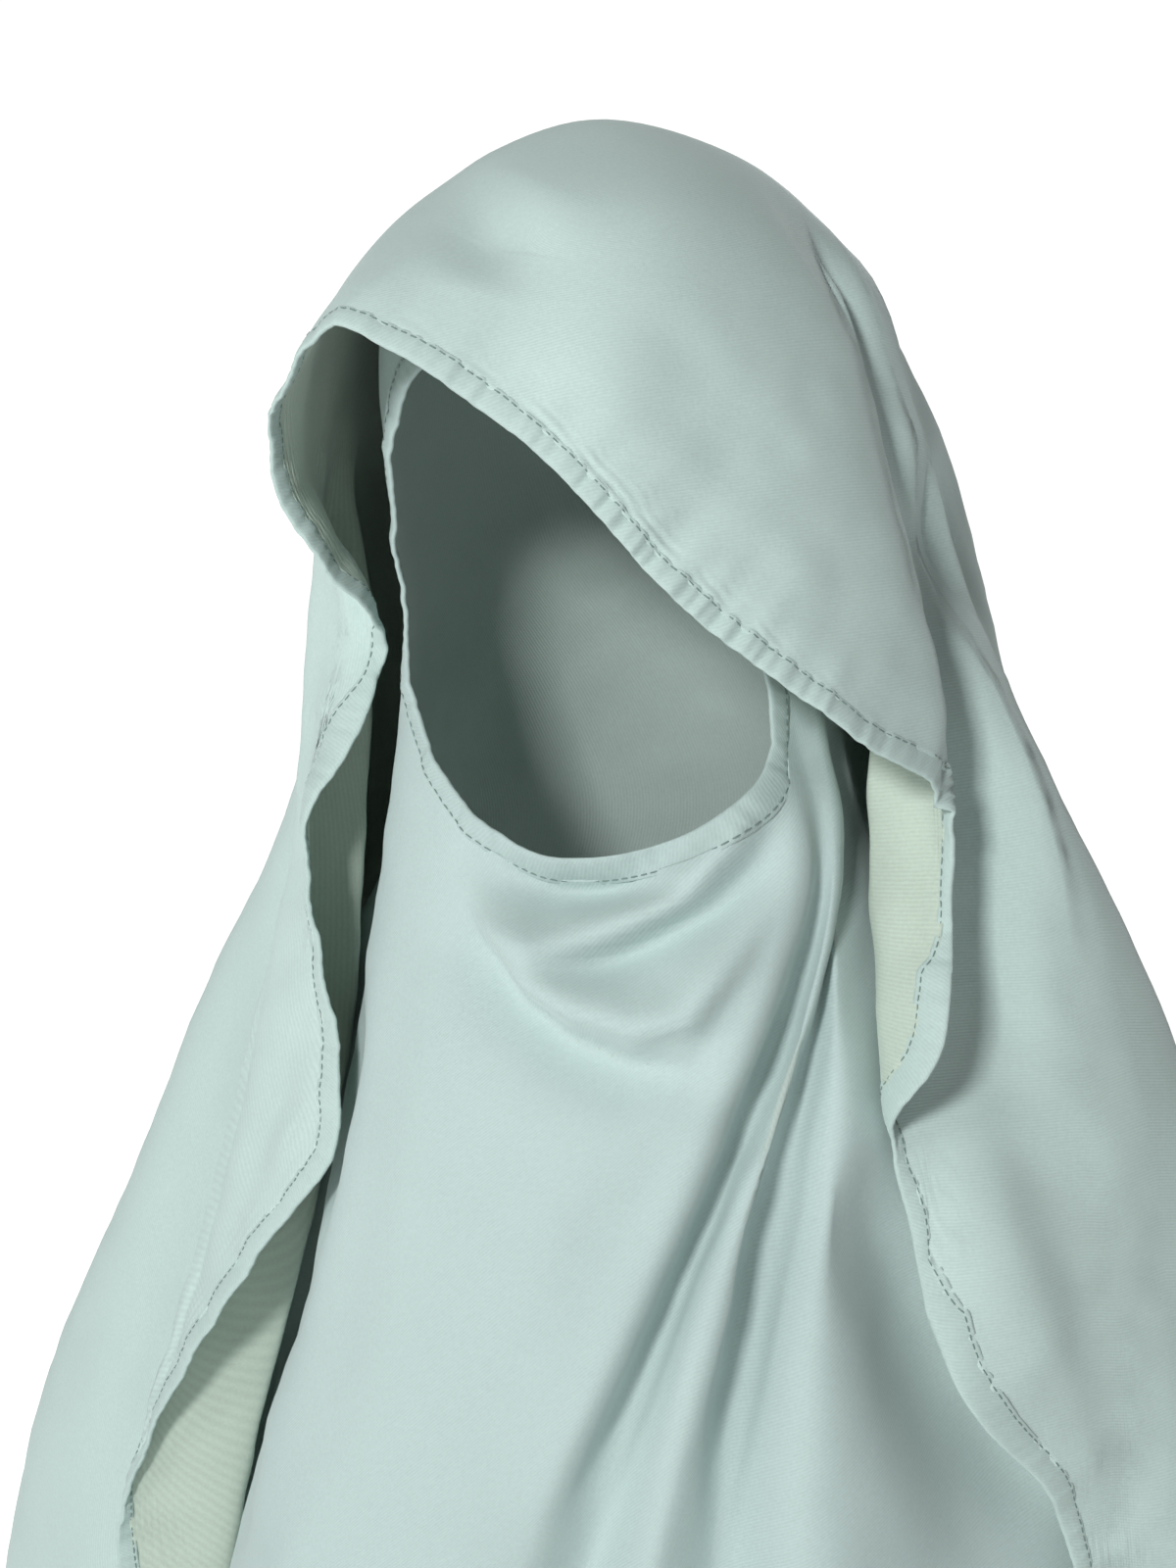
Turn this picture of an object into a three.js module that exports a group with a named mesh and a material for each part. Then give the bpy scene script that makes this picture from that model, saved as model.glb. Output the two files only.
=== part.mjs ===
// A khimar veil in millimetres: an outer veil draped over an inner hood and cape.
// +Z is up, the face looks towards -Y, and the origin is inside the crown, where the hood sits on a head.
import * as THREE from "three";

// Cloth and hems
const CLOTH = 1.2; // one layer, with its soft nap
const HEM_CLOTH = 2.2; // the edge is turned twice
const HEM_WIDTH = 8; // from the edge to the stitch line
const FACE_HEM_WIDTH = 9;
const LAYER_GAP = 0.3; // between the crown of the hood and the veil that rests on it
const SEAM_GAP = 0.3; // between a sheet and its turned hem

// Reach of the cloth: the tables below give places as shares of these two
const SHOULDER_REACH = 200; // from the middle to the side of the drape at the shoulder
const HOOD_DEPTH = 100; // from the middle to the front of the hood

// How far each level lies below the crown
const UPPER_CROWN_DROP = 8;
const LOWER_CROWN_DROP = 30;
const BROW_DROP = 52;
const TEMPLE_DROP = 102;
const CHEEK_DROP = 167;
const CHIN_DROP = 237;
const SHOULDER_DROP = 322;
const CHEST_DROP = 402;
const WAIST_DROP = 502;
const VEIL_LENGTH = 865;
const CAPE_LENGTH = 835;

// Face opening of the hood, an upright oval
const OPENING_MIDDLE_DROP = 150;
const OPENING_HALF_HEIGHT = 86;
const OPENING_HALF_ANGLE = 54; // degrees to each side of the middle
const HOOD_HALF_WIDTH = 78;

// Names the columns of a table, one object for each row.
function table(columns, rows) {
  return rows.map((row) => Object.fromEntries(columns.map((name, i) => [name, row[i]])));
}

// Rings round the crown, as half sizes in millimetres
const RING_COLUMNS = ["drop", "side", "front", "back"];
const VEIL_RINGS = table(RING_COLUMNS, [
  [UPPER_CROWN_DROP, 38, 43, 42],
  [LOWER_CROWN_DROP, 70, 88, 84],
]);
const HOOD_RINGS = table(RING_COLUMNS, [
  [UPPER_CROWN_DROP, 31, 36, 36],
  [LOWER_CROWN_DROP, 58, 68, 68],
  [BROW_DROP, 72, 86, 86],
  [TEMPLE_DROP, HOOD_HALF_WIDTH, 93, 96],
  [CHEEK_DROP, 77, 91, 92],
]);

// Fold lines of the outer veil, from the tip over the brow round to the wearer's left and back.
// bearing: degrees from straight ahead at the crown. swell: reach of the crown ring.
// steps: facets to the next line.
// end: drop of the line's end at the open edge, as a share of CHIN_DROP, or "hem" for the lower edge.
// The other cells hold the place at each level: [share of SHOULDER_REACH, share of HOOD_DEPTH].
const VEIL_COLUMNS = ["line", "bearing", "swell", "steps", "end"];
const VEIL_LEVELS = ["brow", "temple", "cheek", "chin", "shoulder", "chest", "waist", "hem"];
const VEIL_LINES = table([...VEIL_COLUMNS, ...VEIL_LEVELS], [
  ["tip", -31, 1.02, 3, 0.255, [-0.25, -1.13], [-0.22, -1.42]],
  ["brow", 3, 1, 3, 0.408, [0.015, -1.04], [0.035, -1.24], [0.05, -1.32]],
  ["cheek", 30, 1, 3, 0.622, [0.22, -0.89], [0.245, -1.06], [0.25, -1.19], [0.25, -1.28]],
  ["ear", 58, 1, 3, 0.821, [0.375, -0.51], [0.43, -0.7], [0.48, -0.9], [0.52, -1.08]],
  ["right ridge", 80, 1, 2, 0.983,
    [0.42, -0.18], [0.5, -0.32], [0.575, -0.44], [0.63, -0.62], [0.67, -0.8]],
  ["rear wall", 86, 1, 3, 1.174,
    [0.415, -0.1], [0.49, -0.22], [0.545, -0.34], [0.585, -0.54], [0.67, -1.0]],
  ["right valley", 92, 1, 3, 1.47,
    [0.41, -0.03], [0.47, -0.14], [0.485, -0.28], [0.475, -0.5], [0.51, -0.72], [0.54, -0.88]],
  ["side front", 98, 1, 2, 1.659,
    [0.42, 0.03], [0.505, -0.06], [0.54, -0.12], [0.58, -0.32], [0.58, -0.6], [0.58, -0.92], [0.625, -1.1]],
  ["side middle", 105, 1, 2, 2.042,
    [0.43, 0.09], [0.52, 0.02], [0.585, 0], [0.7, -0.12], [0.78, -0.34], [0.8, -0.6], [0.79, -0.78],
    [0.95, -1.1]],
  ["right corner", 110, 1, 2, "hem",
    [0.435, 0.14], [0.525, 0.08], [0.6, 0.06], [0.75, -0.02], [0.885, -0.14], [0.95, -0.32],
    [0.99, -0.56], [1.2, -1]],
  ["right shoulder", 118, 1, 2, "hem",
    [0.43, 0.22], [0.53, 0.16], [0.61, 0.12], [0.753, 0.1], [0.925, 0.08], [1.055, 0.04], [1.18, 0],
    [1.5, -0.1]],
  ["back valley", 128, 1, 2, "hem",
    [0.42, 0.38], [0.505, 0.34], [0.575, 0.42], [0.69, 0.52], [0.86, 0.58], [0.98, 0.64],
    [1.11, 0.68], [1.42, 0.85]],
  ["back right", 140, 1, 3, "hem",
    [0.36, 0.66], [0.485, 0.84], [0.55, 1.12], [0.58, 1.24], [0.66, 1.32], [0.75, 1.42],
    [0.86, 1.52], [1.08, 1.9]],
  ["back fold right", 160, 1, 2, "hem",
    [0.19, 0.98], [0.22, 1.26], [0.26, 1.46], [0.28, 1.52], [0.32, 1.5], [0.37, 1.64],
    [0.43, 1.76], [0.55, 2.35]],
  ["back middle", 180, 1, 2, "hem",
    [0, 1.04], [0, 1.32], [0, 1.5], [0, 1.5], [0, 1.46], [0, 1.56], [0, 1.68], [0, 2.22]],
  ["back fold left", 200, 1, 3, "hem",
    [-0.2, 0.98], [-0.23, 1.22], [-0.27, 1.38], [-0.3, 1.42], [-0.34, 1.46], [-0.4, 1.58],
    [-0.46, 1.72], [-0.575, 2.32]],
  ["back left", 220, 1, 3, "hem",
    [-0.36, 0.64], [-0.46, 0.76], [-0.54, 0.92], [-0.61, 1], [-0.73, 1.12], [-0.87, 1.24],
    [-1.03, 1.36], [-1.26, 1.7]],
  ["left shoulder", 242, 1, 2, "hem",
    [-0.425, 0.22], [-0.5, 0.22], [-0.63, 0.24], [-0.725, 0.18], [-0.965, 0.18], [-1.17, 0.14],
    [-1.425, 0.08], [-1.74, -0.1]],
  ["left front", 252, 1, 2, "hem",
    [-0.43, 0.1], [-0.495, 0.06], [-0.595, 0.04], [-0.65, -0.04], [-0.78, -0.08], [-0.95, -0.14],
    [-1.18, -0.26], [-1.49, -0.6]],
  ["left valley", 258, 1, 3, 2.94,
    [-0.425, 0], [-0.485, -0.05], [-0.475, -0.08], [-0.5, -0.18], [-0.56, -0.24], [-0.67, -0.32],
    [-0.83, -0.42], [-1.13, -0.75]],
  ["left ridge", 264, 1, 3, 2.184,
    [-0.42, -0.08], [-0.495, -0.18], [-0.575, -0.2], [-0.605, -0.34], [-0.72, -0.46], [-0.855, -0.54],
    [-1.04, -0.62], [-1.3, -0.9]],
  ["flap lower", 270, 1, 3, 1.613,
    [-0.415, -0.16], [-0.49, -0.28], [-0.525, -0.28], [-0.55, -0.48], [-0.545, -0.73], [-0.65, -0.83],
    [-0.86, -0.86]],
  ["flap middle", 273, 1, 2, 1.378,
    [-0.415, -0.21], [-0.49, -0.32], [-0.495, -0.32], [-0.54, -0.535], [-0.46, -0.81], [-0.4, -0.99]],
  ["flap upper", 276, 1, 2, 1.061,
    [-0.415, -0.26], [-0.49, -0.36], [-0.46, -0.36], [-0.535, -0.575], [-0.42, -0.86]],
  ["flap fold", 282, 1, 2, 0.78,
    [-0.415, -0.36], [-0.485, -0.45], [-0.415, -0.36], [-0.36, -0.76]],
  ["cup wall", 294, 1, 2, 0.607,
    [-0.375, -0.6], [-0.465, -0.66], [-0.38, -0.67]],
  ["cup edge", 308, 1, 2, 0.392,
    [-0.325, -0.84], [-0.48, -0.88], [-0.475, -0.88]],
]);

// Fold lines of the hood and cape, from the middle of the face round to the wearer's left and back.
// The first five lines and the last four pass through the face opening. Cells are as in the table above.
const CAPE_COLUMNS = ["line", "bearing", "steps"];
const CAPE_LEVELS = ["chin", "shoulder", "chest", "waist", "hem"];
const OPENING_LINES = 4; // lines from the middle of the opening to its side
const CAPE_LINES = table([...CAPE_COLUMNS, ...CAPE_LEVELS], [
  ["middle", 0, 3, [0.015, -0.94], [-0.04, -1.18], [-0.2, -1.3], [-0.39, -1.4], [-0.6, -1.75]],
  ["ridge left", 23, 3, [0.225, -0.92], [0.11, -1.15], [-0.06, -1.35], [-0.25, -1.48], [-0.42, -1.86]],
  ["main ridge", 42, 2, [0.4, -0.8], [0.26, -1.03], [0.07, -1.28], [-0.125, -1.46], [-0.28, -1.9]],
  ["first slot", 54, 2, [0.42, -0.68], [0.3, -0.88], [0.14, -1.12], [-0.02, -1.28], [-0.12, -1.65]],
  ["middle ridge", 60, 2, [0.435, -0.68], [0.35, -0.96], [0.225, -1.24], [0.11, -1.46], [0.04, -1.9]],
  ["second slot", 66, 2, [0.43, -0.56], [0.37, -0.78], [0.29, -1.04], [0.21, -1.2], [0.2, -1.6]],
  ["panel ridge", 74, 2, [0.42, -0.56], [0.43, -0.86], [0.4, -1.16], [0.38, -1.38], [0.46, -1.8]],
  ["panel side", 86, 2, [0.44, -0.38], [0.53, -0.55], [0.58, -0.76], [0.65, -0.88], [0.8, -1.15]],
  ["right shoulder", 104, 3, [0.43, 0], [0.75, -0.02], [0.9, -0.04], [1.02, -0.04], [1.26, -0.08]],
  ["back right", 135, 3, [0.38, 0.62], [0.56, 0.85], [0.68, 1.02], [0.8, 1.14], [1.02, 1.45]],
  ["back", 180, 3, [0, 0.98], [0, 1.2], [0, 1.32], [0, 1.44], [0, 1.85]],
  ["back left", 225, 3, [-0.38, 0.62], [-0.56, 0.8], [-0.68, 0.9], [-0.8, 1.02], [-1.04, 1.35]],
  ["left shoulder", 256, 2, [-0.43, 0.02], [-0.7, 0.12], [-0.86, 0.08], [-1.04, 0.02], [-1.36, -0.2]],
  ["left slot", 274, 2, [-0.4, -0.18], [-0.5, -0.26], [-0.61, -0.32], [-0.74, -0.4], [-1.06, -0.72]],
  ["left fold", 286, 2, [-0.4, -0.34], [-0.49, -0.46], [-0.59, -0.58], [-0.76, -0.7], [-1.16, -1]],
  ["left ridge", 300, 2, [-0.385, -0.54], [-0.455, -0.68], [-0.555, -0.8], [-0.73, -0.9], [-1.1, -1.25]],
  ["left cheek", 306, 2, [-0.33, -0.68], [-0.38, -0.9], [-0.46, -1.06], [-0.64, -1.14], [-0.98, -1.5]],
  ["left chest", 318, 3, [-0.23, -0.82], [-0.27, -1.06], [-0.36, -1.2], [-0.56, -1.28], [-0.86, -1.62]],
  ["left middle", 337, 3, [-0.11, -0.91], [-0.15, -1.14], [-0.28, -1.26], [-0.48, -1.34], [-0.73, -1.7]],
]);

// Value of a smooth curve through b and c, at share t from b to c.
// a and d are the points before and after, and the steps are the spans between the four points.
function smooth(a, b, c, d, stepBefore, step, stepAfter, t) {
  const slopeB = ((b - a) / stepBefore) * step + ((c - b) / step) * stepBefore;
  const slopeC = ((c - b) / step) * stepAfter + ((d - c) / stepAfter) * step;
  const tangentB = (slopeB / (stepBefore + step)) * step;
  const tangentC = (slopeC / (step + stepAfter)) * step;
  const t2 = t * t;
  const t3 = t2 * t;
  return (
    (2 * t3 - 3 * t2 + 1) * b + (t3 - 2 * t2 + t) * tangentB + (3 * t2 - 2 * t3) * c + (t3 - t2) * tangentC
  );
}

// Steps for measuring directions on the cloth: a share of the way to the next fold line, and millimetres
const SMALL_SHARE = 0.02;
const SMALL_STEP = 0.5;
const INSET_STEPS = 8; // for walking from the open edge to its stitch line
const EVENING_ROUNDS = 2;
const CROWN_LEVELS = 4; // where the cloth runs outwards as well as down
const SEARCH_ROUNDS = 50; // halvings in the search for a drop
const SEARCH_REACH = 1.2; // times the length of the cloth
const LEAST_SPAN = 1e-3; // between neighbouring places, in millimetres
const LEAST_EDGE_SPAN = 1; // the same along the open edge
const STEEPEST = 3; // slope of a curve that just stays between its ends, in their difference

// A drape is a net of places, one row for each level and one column for each fold line.
// Places are { x, y }, and each level has its drop and its station, a distance down the cloth.
class Drape {
  constructor(levels, ends) {
    this.levels = levels;
    this.count = levels[1].places.length;
    this.ends = ends.map((drop) => this.stationAt(drop));
  }

  // Place on one level at a share of the way round: whole numbers are the fold lines.
  around(level, u) {
    const { places } = level;
    if (places.length === 1) return places[0];
    const i = Math.floor(u);
    const [a, b, c, d] = [-1, 0, 1, 2].map((k) => places[(((i + k) % this.count) + this.count) % this.count]);
    const span = (p, q) => Math.max(Math.hypot(p.x - q.x, p.y - q.y), LEAST_SPAN);
    const spans = [span(a, b), span(b, c), span(c, d)];
    return {
      x: smooth(a.x, b.x, c.x, d.x, ...spans, u - i),
      y: smooth(a.y, b.y, c.y, d.y, ...spans, u - i),
    };
  }

  // The four levels round a station, with the share of the way between the middle two.
  bracket(station) {
    const last = this.levels.length - 1;
    let k = 0;
    while (k < last - 1 && this.levels[k + 1].station <= station) k += 1;
    const at = (j) => this.levels[Math.min(Math.max(j, 0), last)];
    const [a, b, c, d] = [at(k - 1), at(k), at(k + 1), at(k + 2)];
    const step = c.station - b.station;
    const before = k === 0 ? step : b.station - a.station;
    const after = k + 1 === last ? step : d.station - c.station;
    const share = (station - b.station) / step;
    return { four: [a, b, c, d], spans: [before, step, after], share, first: k === 0 };
  }

  heightAt(station) {
    const { four, spans, share, first } = this.bracket(station);
    const z = four.map((level) => -level.drop);
    if (first) z[0] = z[2]; // the crown is level at its top
    return smooth(...z, ...spans, share);
  }

  stationAt(drop) {
    let low = 0;
    let high = this.levels.at(-1).station * SEARCH_REACH;
    for (let k = 0; k < SEARCH_ROUNDS; k += 1) {
      const middle = (low + high) / 2;
      if (-this.heightAt(middle) < drop) low = middle;
      else high = middle;
    }
    return (low + high) / 2;
  }

  point(u, station) {
    const { four, spans, share, first } = this.bracket(station);
    const places = four.map((level) => this.around(level, u));
    if (first) places[0] = { x: -places[2].x, y: -places[2].y }; // the line goes on over the crown
    return new THREE.Vector3(
      smooth(...places.map((p) => p.x), ...spans, share),
      smooth(...places.map((p) => p.y), ...spans, share),
      this.heightAt(station),
    );
  }

  // Station of the open edge at a fold line, counted on round the cloth.
  endAt(i) {
    return this.ends[((i % this.count) + this.count) % this.count];
  }

  // Rise of the open edge at a fold line for each millimetre round the cloth, none where it turns back,
  // with the spans to the lines before and after.
  edgeSlope(i) {
    const end = this.endAt(i);
    const here = this.point(i, end);
    const before = Math.max(here.distanceTo(this.point(i - 1, end)), LEAST_EDGE_SPAN);
    const after = Math.max(here.distanceTo(this.point(i + 1, end)), LEAST_EDGE_SPAN);
    const slopeBefore = (end - this.endAt(i - 1)) / before;
    const slopeAfter = (this.endAt(i + 1) - end) / after;
    const turns = slopeBefore * slopeAfter <= 0;
    const slope = turns ? 0 : (2 * slopeBefore * slopeAfter) / (slopeBefore + slopeAfter);
    return { slope, before, after };
  }

  // Station of the open edge at a share of the way round, with no overshoot between the lines.
  edgeStation(u) {
    const i = Math.floor(u);
    const b = this.endAt(i);
    const c = this.endAt(i + 1);
    const start = this.edgeSlope(i);
    const finish = this.edgeSlope(i + 1);
    const most = STEEPEST * Math.abs(c - b);
    const startTangent = THREE.MathUtils.clamp(start.slope * start.after, -most, most);
    const finishTangent = THREE.MathUtils.clamp(finish.slope * finish.before, -most, most);
    const t = u - i;
    const t2 = t * t;
    const t3 = t2 * t;
    return (
      (2 * t3 - 3 * t2 + 1) * b + (t3 - 2 * t2 + t) * startTangent +
      (3 * t2 - 2 * t3) * c + (t3 - t2) * finishTangent
    );
  }

  // How the point moves for each fold line gone round and for each millimetre gone down the cloth.
  directions(u, station) {
    const s = Math.max(station, 2 * SMALL_STEP);
    const across = this.point(u + SMALL_SHARE, s).sub(this.point(u - SMALL_SHARE, s));
    const down = this.point(u, s + SMALL_STEP).sub(this.point(u, s - SMALL_STEP));
    return {
      across: across.divideScalar(2 * SMALL_SHARE),
      down: down.divideScalar(2 * SMALL_STEP),
    };
  }

  // Outward normal of the cloth.
  normal(u, station) {
    const { across, down } = this.directions(u, station);
    return down.cross(across).normalize();
  }

  // Place a width in from the open edge, walked over the cloth square to the edge.
  inset(edgeU, width) {
    const edgeAt = (u) => this.point(u, this.edgeStation(u));
    const along = edgeAt(edgeU + SMALL_SHARE).sub(edgeAt(edgeU - SMALL_SHARE)).normalize();
    let u = edgeU;
    let station = this.edgeStation(edgeU);
    for (let k = 0; k < INSET_STEPS; k += 1) {
      const { across, down } = this.directions(u, station);
      const inward = down.clone().cross(across).cross(along).setLength(width / INSET_STEPS);
      const aa = across.dot(across);
      const ad = across.dot(down);
      const dd = down.dot(down);
      const am = across.dot(inward);
      const dm = down.dot(inward);
      const determinant = aa * dd - ad * ad;
      u += (am * dd - dm * ad) / determinant;
      station += (dm * aa - am * ad) / determinant;
    }
    return { u, station };
  }

  // Moves from the open edge to its stitch line, one for each column, evened out at its sharp turns.
  edgeMoves(columns) {
    let moves = columns.map((edgeU) => {
      const { u, station } = this.inset(edgeU, HEM_WIDTH);
      return { u: u - edgeU, station: station - this.edgeStation(edgeU) };
    });
    const n = moves.length;
    for (let k = 0; k < EVENING_ROUNDS; k += 1) {
      const at = (i, key) => moves[(i + n) % n][key];
      const even = (i, key) => (at(i - 1, key) + 2 * at(i, key) + at(i + 1, key)) / 4;
      moves = moves.map((_, i) => ({ u: even(i, "u"), station: even(i, "station") }));
    }
    return moves;
  }

  // Places along the open edge, one for each column, a width in from it.
  edgePlaces(columns, width) {
    const moves = this.edgeMoves(columns);
    return columns.map((u, i) => ({
      u: u + (moves[i].u * width) / HEM_WIDTH,
      station: this.edgeStation(u) + (moves[i].station * width) / HEM_WIDTH,
    }));
  }
}

// Place on a ring of half sizes at a bearing in degrees.
function ringPlace(ring, bearing, swell = 1) {
  const angle = THREE.MathUtils.degToRad(bearing);
  const x = Math.sin(angle);
  const y = -Math.cos(angle);
  const depth = y < 0 ? ring.front : ring.back;
  const reach = swell / Math.hypot(x / ring.side, y / depth);
  return { x: x * reach, y: y * reach };
}

// Adds to each level its station: the distance down the cloth from the crown, on a mean line.
function withStations(levels) {
  const mean = (level) => {
    const sum = level.places.reduce((total, p) => total + Math.hypot(p.x, p.y), 0);
    return sum / level.places.length;
  };
  let station = 0;
  return levels.map((level, k) => {
    if (k > 0) {
      const before = levels[k - 1];
      const out = k < CROWN_LEVELS ? mean(level) - mean(before) : 0;
      station += Math.hypot(out, level.drop - before.drop);
    }
    return { ...level, station };
  });
}

// The net of a garment: the crown, its rings, then one level for each cell column.
function makeDrape(lines, rings, crownRise, levelNames, drops, lengthDrop) {
  const places = new Map(levelNames.map((name) => [name, []]));
  for (const line of lines) {
    let last = null;
    for (const name of levelNames) {
      const cell = line[name];
      if (cell) last = { x: cell[0] * SHOULDER_REACH, y: cell[1] * HOOD_DEPTH };
      places.get(name).push(last);
    }
  }
  const levels = [{ drop: -crownRise, places: [{ x: 0, y: 0 }] }];
  for (const ring of rings) {
    levels.push({ drop: ring.drop, places: lines.map((line) => ringPlace(ring, line.bearing, line.swell)) });
  }
  for (const name of levelNames) levels.push({ drop: drops[name], places: places.get(name) });
  const ends = lines.map((line) => (typeof line.end === "number" ? line.end * CHIN_DROP : lengthDrop));
  return new Drape(withStations(levels), ends);
}

const DROPS = {
  brow: BROW_DROP,
  temple: TEMPLE_DROP,
  cheek: CHEEK_DROP,
  chin: CHIN_DROP,
  shoulder: SHOULDER_DROP,
  chest: CHEST_DROP,
  waist: WAIST_DROP,
};

// A sheet of points with outward normals and triangles, before it has a thickness.
class Sheet {
  constructor(drape) {
    this.drape = drape;
    this.points = [];
    this.walls = []; // half a thickness along the outward normal
    this.triangles = [];
  }

  add({ u, station }, thickness = CLOTH) {
    const outward = station === 0 ? new THREE.Vector3(0, 0, 1) : this.drape.normal(u, station);
    this.points.push(this.drape.point(u, station));
    this.walls.push(outward.multiplyScalar(thickness / 2));
    return this.points.length - 1;
  }

  // Joins two closed rows of points, the upper one first, with each field split along its shorter diagonal.
  join(upper, lower) {
    const n = lower.length;
    const distance = (a, b) => this.points[a].distanceTo(this.points[b]);
    for (let i = 0; i < n; i += 1) {
      const j = (i + 1) % n;
      const [a, b] = upper.length > 1 ? [upper[i], upper[j]] : [upper[0], upper[0]];
      const [c, d] = [lower[i], lower[j]];
      if (distance(b, c) <= distance(a, d)) {
        this.face(a, c, b);
        this.face(b, c, d);
      } else {
        this.face(a, c, d);
        this.face(a, d, b);
      }
    }
  }

  face(a, b, c) {
    if (a !== b && b !== c && c !== a) this.triangles.push([a, b, c]);
  }

  // A closed solid: the sheet moved half a thickness out and in, with walls along its open edges.
  solid() {
    const n = this.points.length;
    const moved = (share) => this.points.map((p, i) => p.clone().addScaledVector(this.walls[i], share));
    const vertices = [...moved(1), ...moved(-1)];
    const faces = [];
    const edges = new Map();
    for (const [a, b, c] of this.triangles) {
      faces.push([a, b, c], [a + n, c + n, b + n]);
      for (const [p, q] of [[a, b], [b, c], [c, a]]) edges.set(p + "," + q, [p, q]);
    }
    for (const [p, q] of edges.values()) {
      if (edges.has(q + "," + p)) continue;
      // the walls on both sides of a seam are split the same way
      if (p < q) faces.push([q, p, p + n], [q, p + n, q + n]);
      else faces.push([q, p, q + n], [p, p + n, q + n]);
    }
    const coordinates = vertices.flatMap((v) => v.toArray());
    const geometry = new THREE.BufferGeometry();
    geometry.setAttribute("position", new THREE.Float32BufferAttribute(coordinates, 3));
    geometry.setIndex(faces.flat());
    geometry.computeVertexNormals();
    return geometry;
  }
}

// Distances down the cloth of the rings at the top of the crown
const CROWN_STATIONS = [14, 32, 54];
const NEAR_SEAM_WIDTH = 12; // from the open edge to the last row but one of a sheet

// Shares of the way round at which a garment has its columns of points.
function columnsOf(lines) {
  return lines.flatMap((line, i) => Array.from({ length: line.steps }, (_, k) => i + k / line.steps));
}

// Rings of the crown's top, the same in both garments, down to the ring where the even rows begin.
function crownTop(sheet, columns) {
  let upper = [sheet.add({ u: 0, station: 0 })];
  for (const station of CROWN_STATIONS) {
    const lower = columns.map((u) => sheet.add({ u, station }));
    sheet.join(upper, lower);
    upper = lower;
  }
  return upper;
}

// Rows between a row of points and a row of places, { u, station }, both round the whole cloth.
// Columns lean towards the place that they meet.
function evenRows(sheet, first, columns, starts, ends, rowCount) {
  let upper = first;
  for (let row = 1; row <= rowCount; row += 1) {
    const share = row / rowCount;
    const lean = share ** 3;
    const lower = columns.map((u, i) =>
      sheet.add({
        u: u + (ends[i].u - u) * lean,
        station: starts[i] + (ends[i].station - starts[i]) * share,
      }),
    );
    sheet.join(upper, lower);
    upper = lower;
  }
  return upper;
}

// Sheet from the crown to the seam of its open edge, with its last row close to the seam.
function crownSheet(drape, columns, rowCount) {
  const sheet = new Sheet(drape);
  const top = crownTop(sheet, columns);
  const starts = columns.map(() => CROWN_STATIONS.at(-1));
  const nearSeam = drape.edgePlaces(columns, NEAR_SEAM_WIDTH);
  const last = evenRows(sheet, top, columns, starts, nearSeam, rowCount);
  sheet.join(last, drape.edgePlaces(columns, HEM_WIDTH + SEAM_GAP).map((place) => sheet.add(place)));
  return sheet;
}

// Band along the open edge: pressed thin by the stitches, full at the edge.
function edgeBand(drape, columns) {
  const sheet = new Sheet(drape);
  const stitch = drape.edgePlaces(columns, HEM_WIDTH).map((place) => sheet.add(place));
  const edge = drape.edgePlaces(columns, 0).map((place) => sheet.add(place, HEM_CLOTH));
  sheet.join(stitch, edge);
  return sheet;
}

// The face opening is an oval on the hood, and the hole in the hood's sheet is larger by the hem.
const HOLE_HALF_HEIGHT = OPENING_HALF_HEIGHT + FACE_HEM_WIDTH + SEAM_GAP;
const HEM_ANGLE = THREE.MathUtils.radToDeg((FACE_HEM_WIDTH + SEAM_GAP) / HOOD_HALF_WIDTH);
const HOLE_HALF_ANGLE = OPENING_HALF_ANGLE + HEM_ANGLE;

// Drop and place round the hood of the oval at a share of the hole's width, on its upper or lower side.
function ovalAt(drape, u, side, halfHeight, halfAngle) {
  const turn = (u / OPENING_LINES) * (Math.PI / 2);
  const sine = (Math.sin(turn) * halfAngle) / HOLE_HALF_ANGLE;
  const place = (Math.asin(sine) / (Math.PI / 2)) * OPENING_LINES;
  return { u: place, station: drape.stationAt(OPENING_MIDDLE_DROP - side * halfHeight * Math.cos(turn)) };
}

// Share of the way round counted from the middle of the face, negative on the wearer's right.
function fromMiddle(u, count) {
  return u > count / 2 ? u - count : u;
}

// Sheet of the hood and cape, with the hole for the face between its upper and lower parts.
function capeSheet(drape, columns, upperRows, lowerRows) {
  const sheet = new Sheet(drape);
  const middle = drape.stationAt(OPENING_MIDDLE_DROP);
  const around = columns.map((u) => fromMiddle(u, drape.count));
  const inHole = around.map((u) => Math.abs(u) < OPENING_LINES);
  const rim = (i, side) => {
    if (!inHole[i]) return middle;
    return ovalAt(drape, around[i], side, HOLE_HALF_HEIGHT, HOLE_HALF_ANGLE).station;
  };
  const top = crownTop(sheet, columns);
  const starts = columns.map(() => CROWN_STATIONS.at(-1));
  const rimAbove = columns.map((u, i) => ({ u, station: rim(i, 1) }));
  const above = evenRows(sheet, top, columns, starts, rimAbove, upperRows);
  const below = columns.map((u, i) => (inHole[i] ? sheet.add({ u, station: rim(i, -1) }) : above[i]));
  const ends = drape.edgePlaces(columns, HEM_WIDTH + SEAM_GAP);
  evenRows(sheet, below, columns, columns.map((u, i) => rim(i, -1)), ends, lowerRows);
  return sheet;
}

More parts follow.
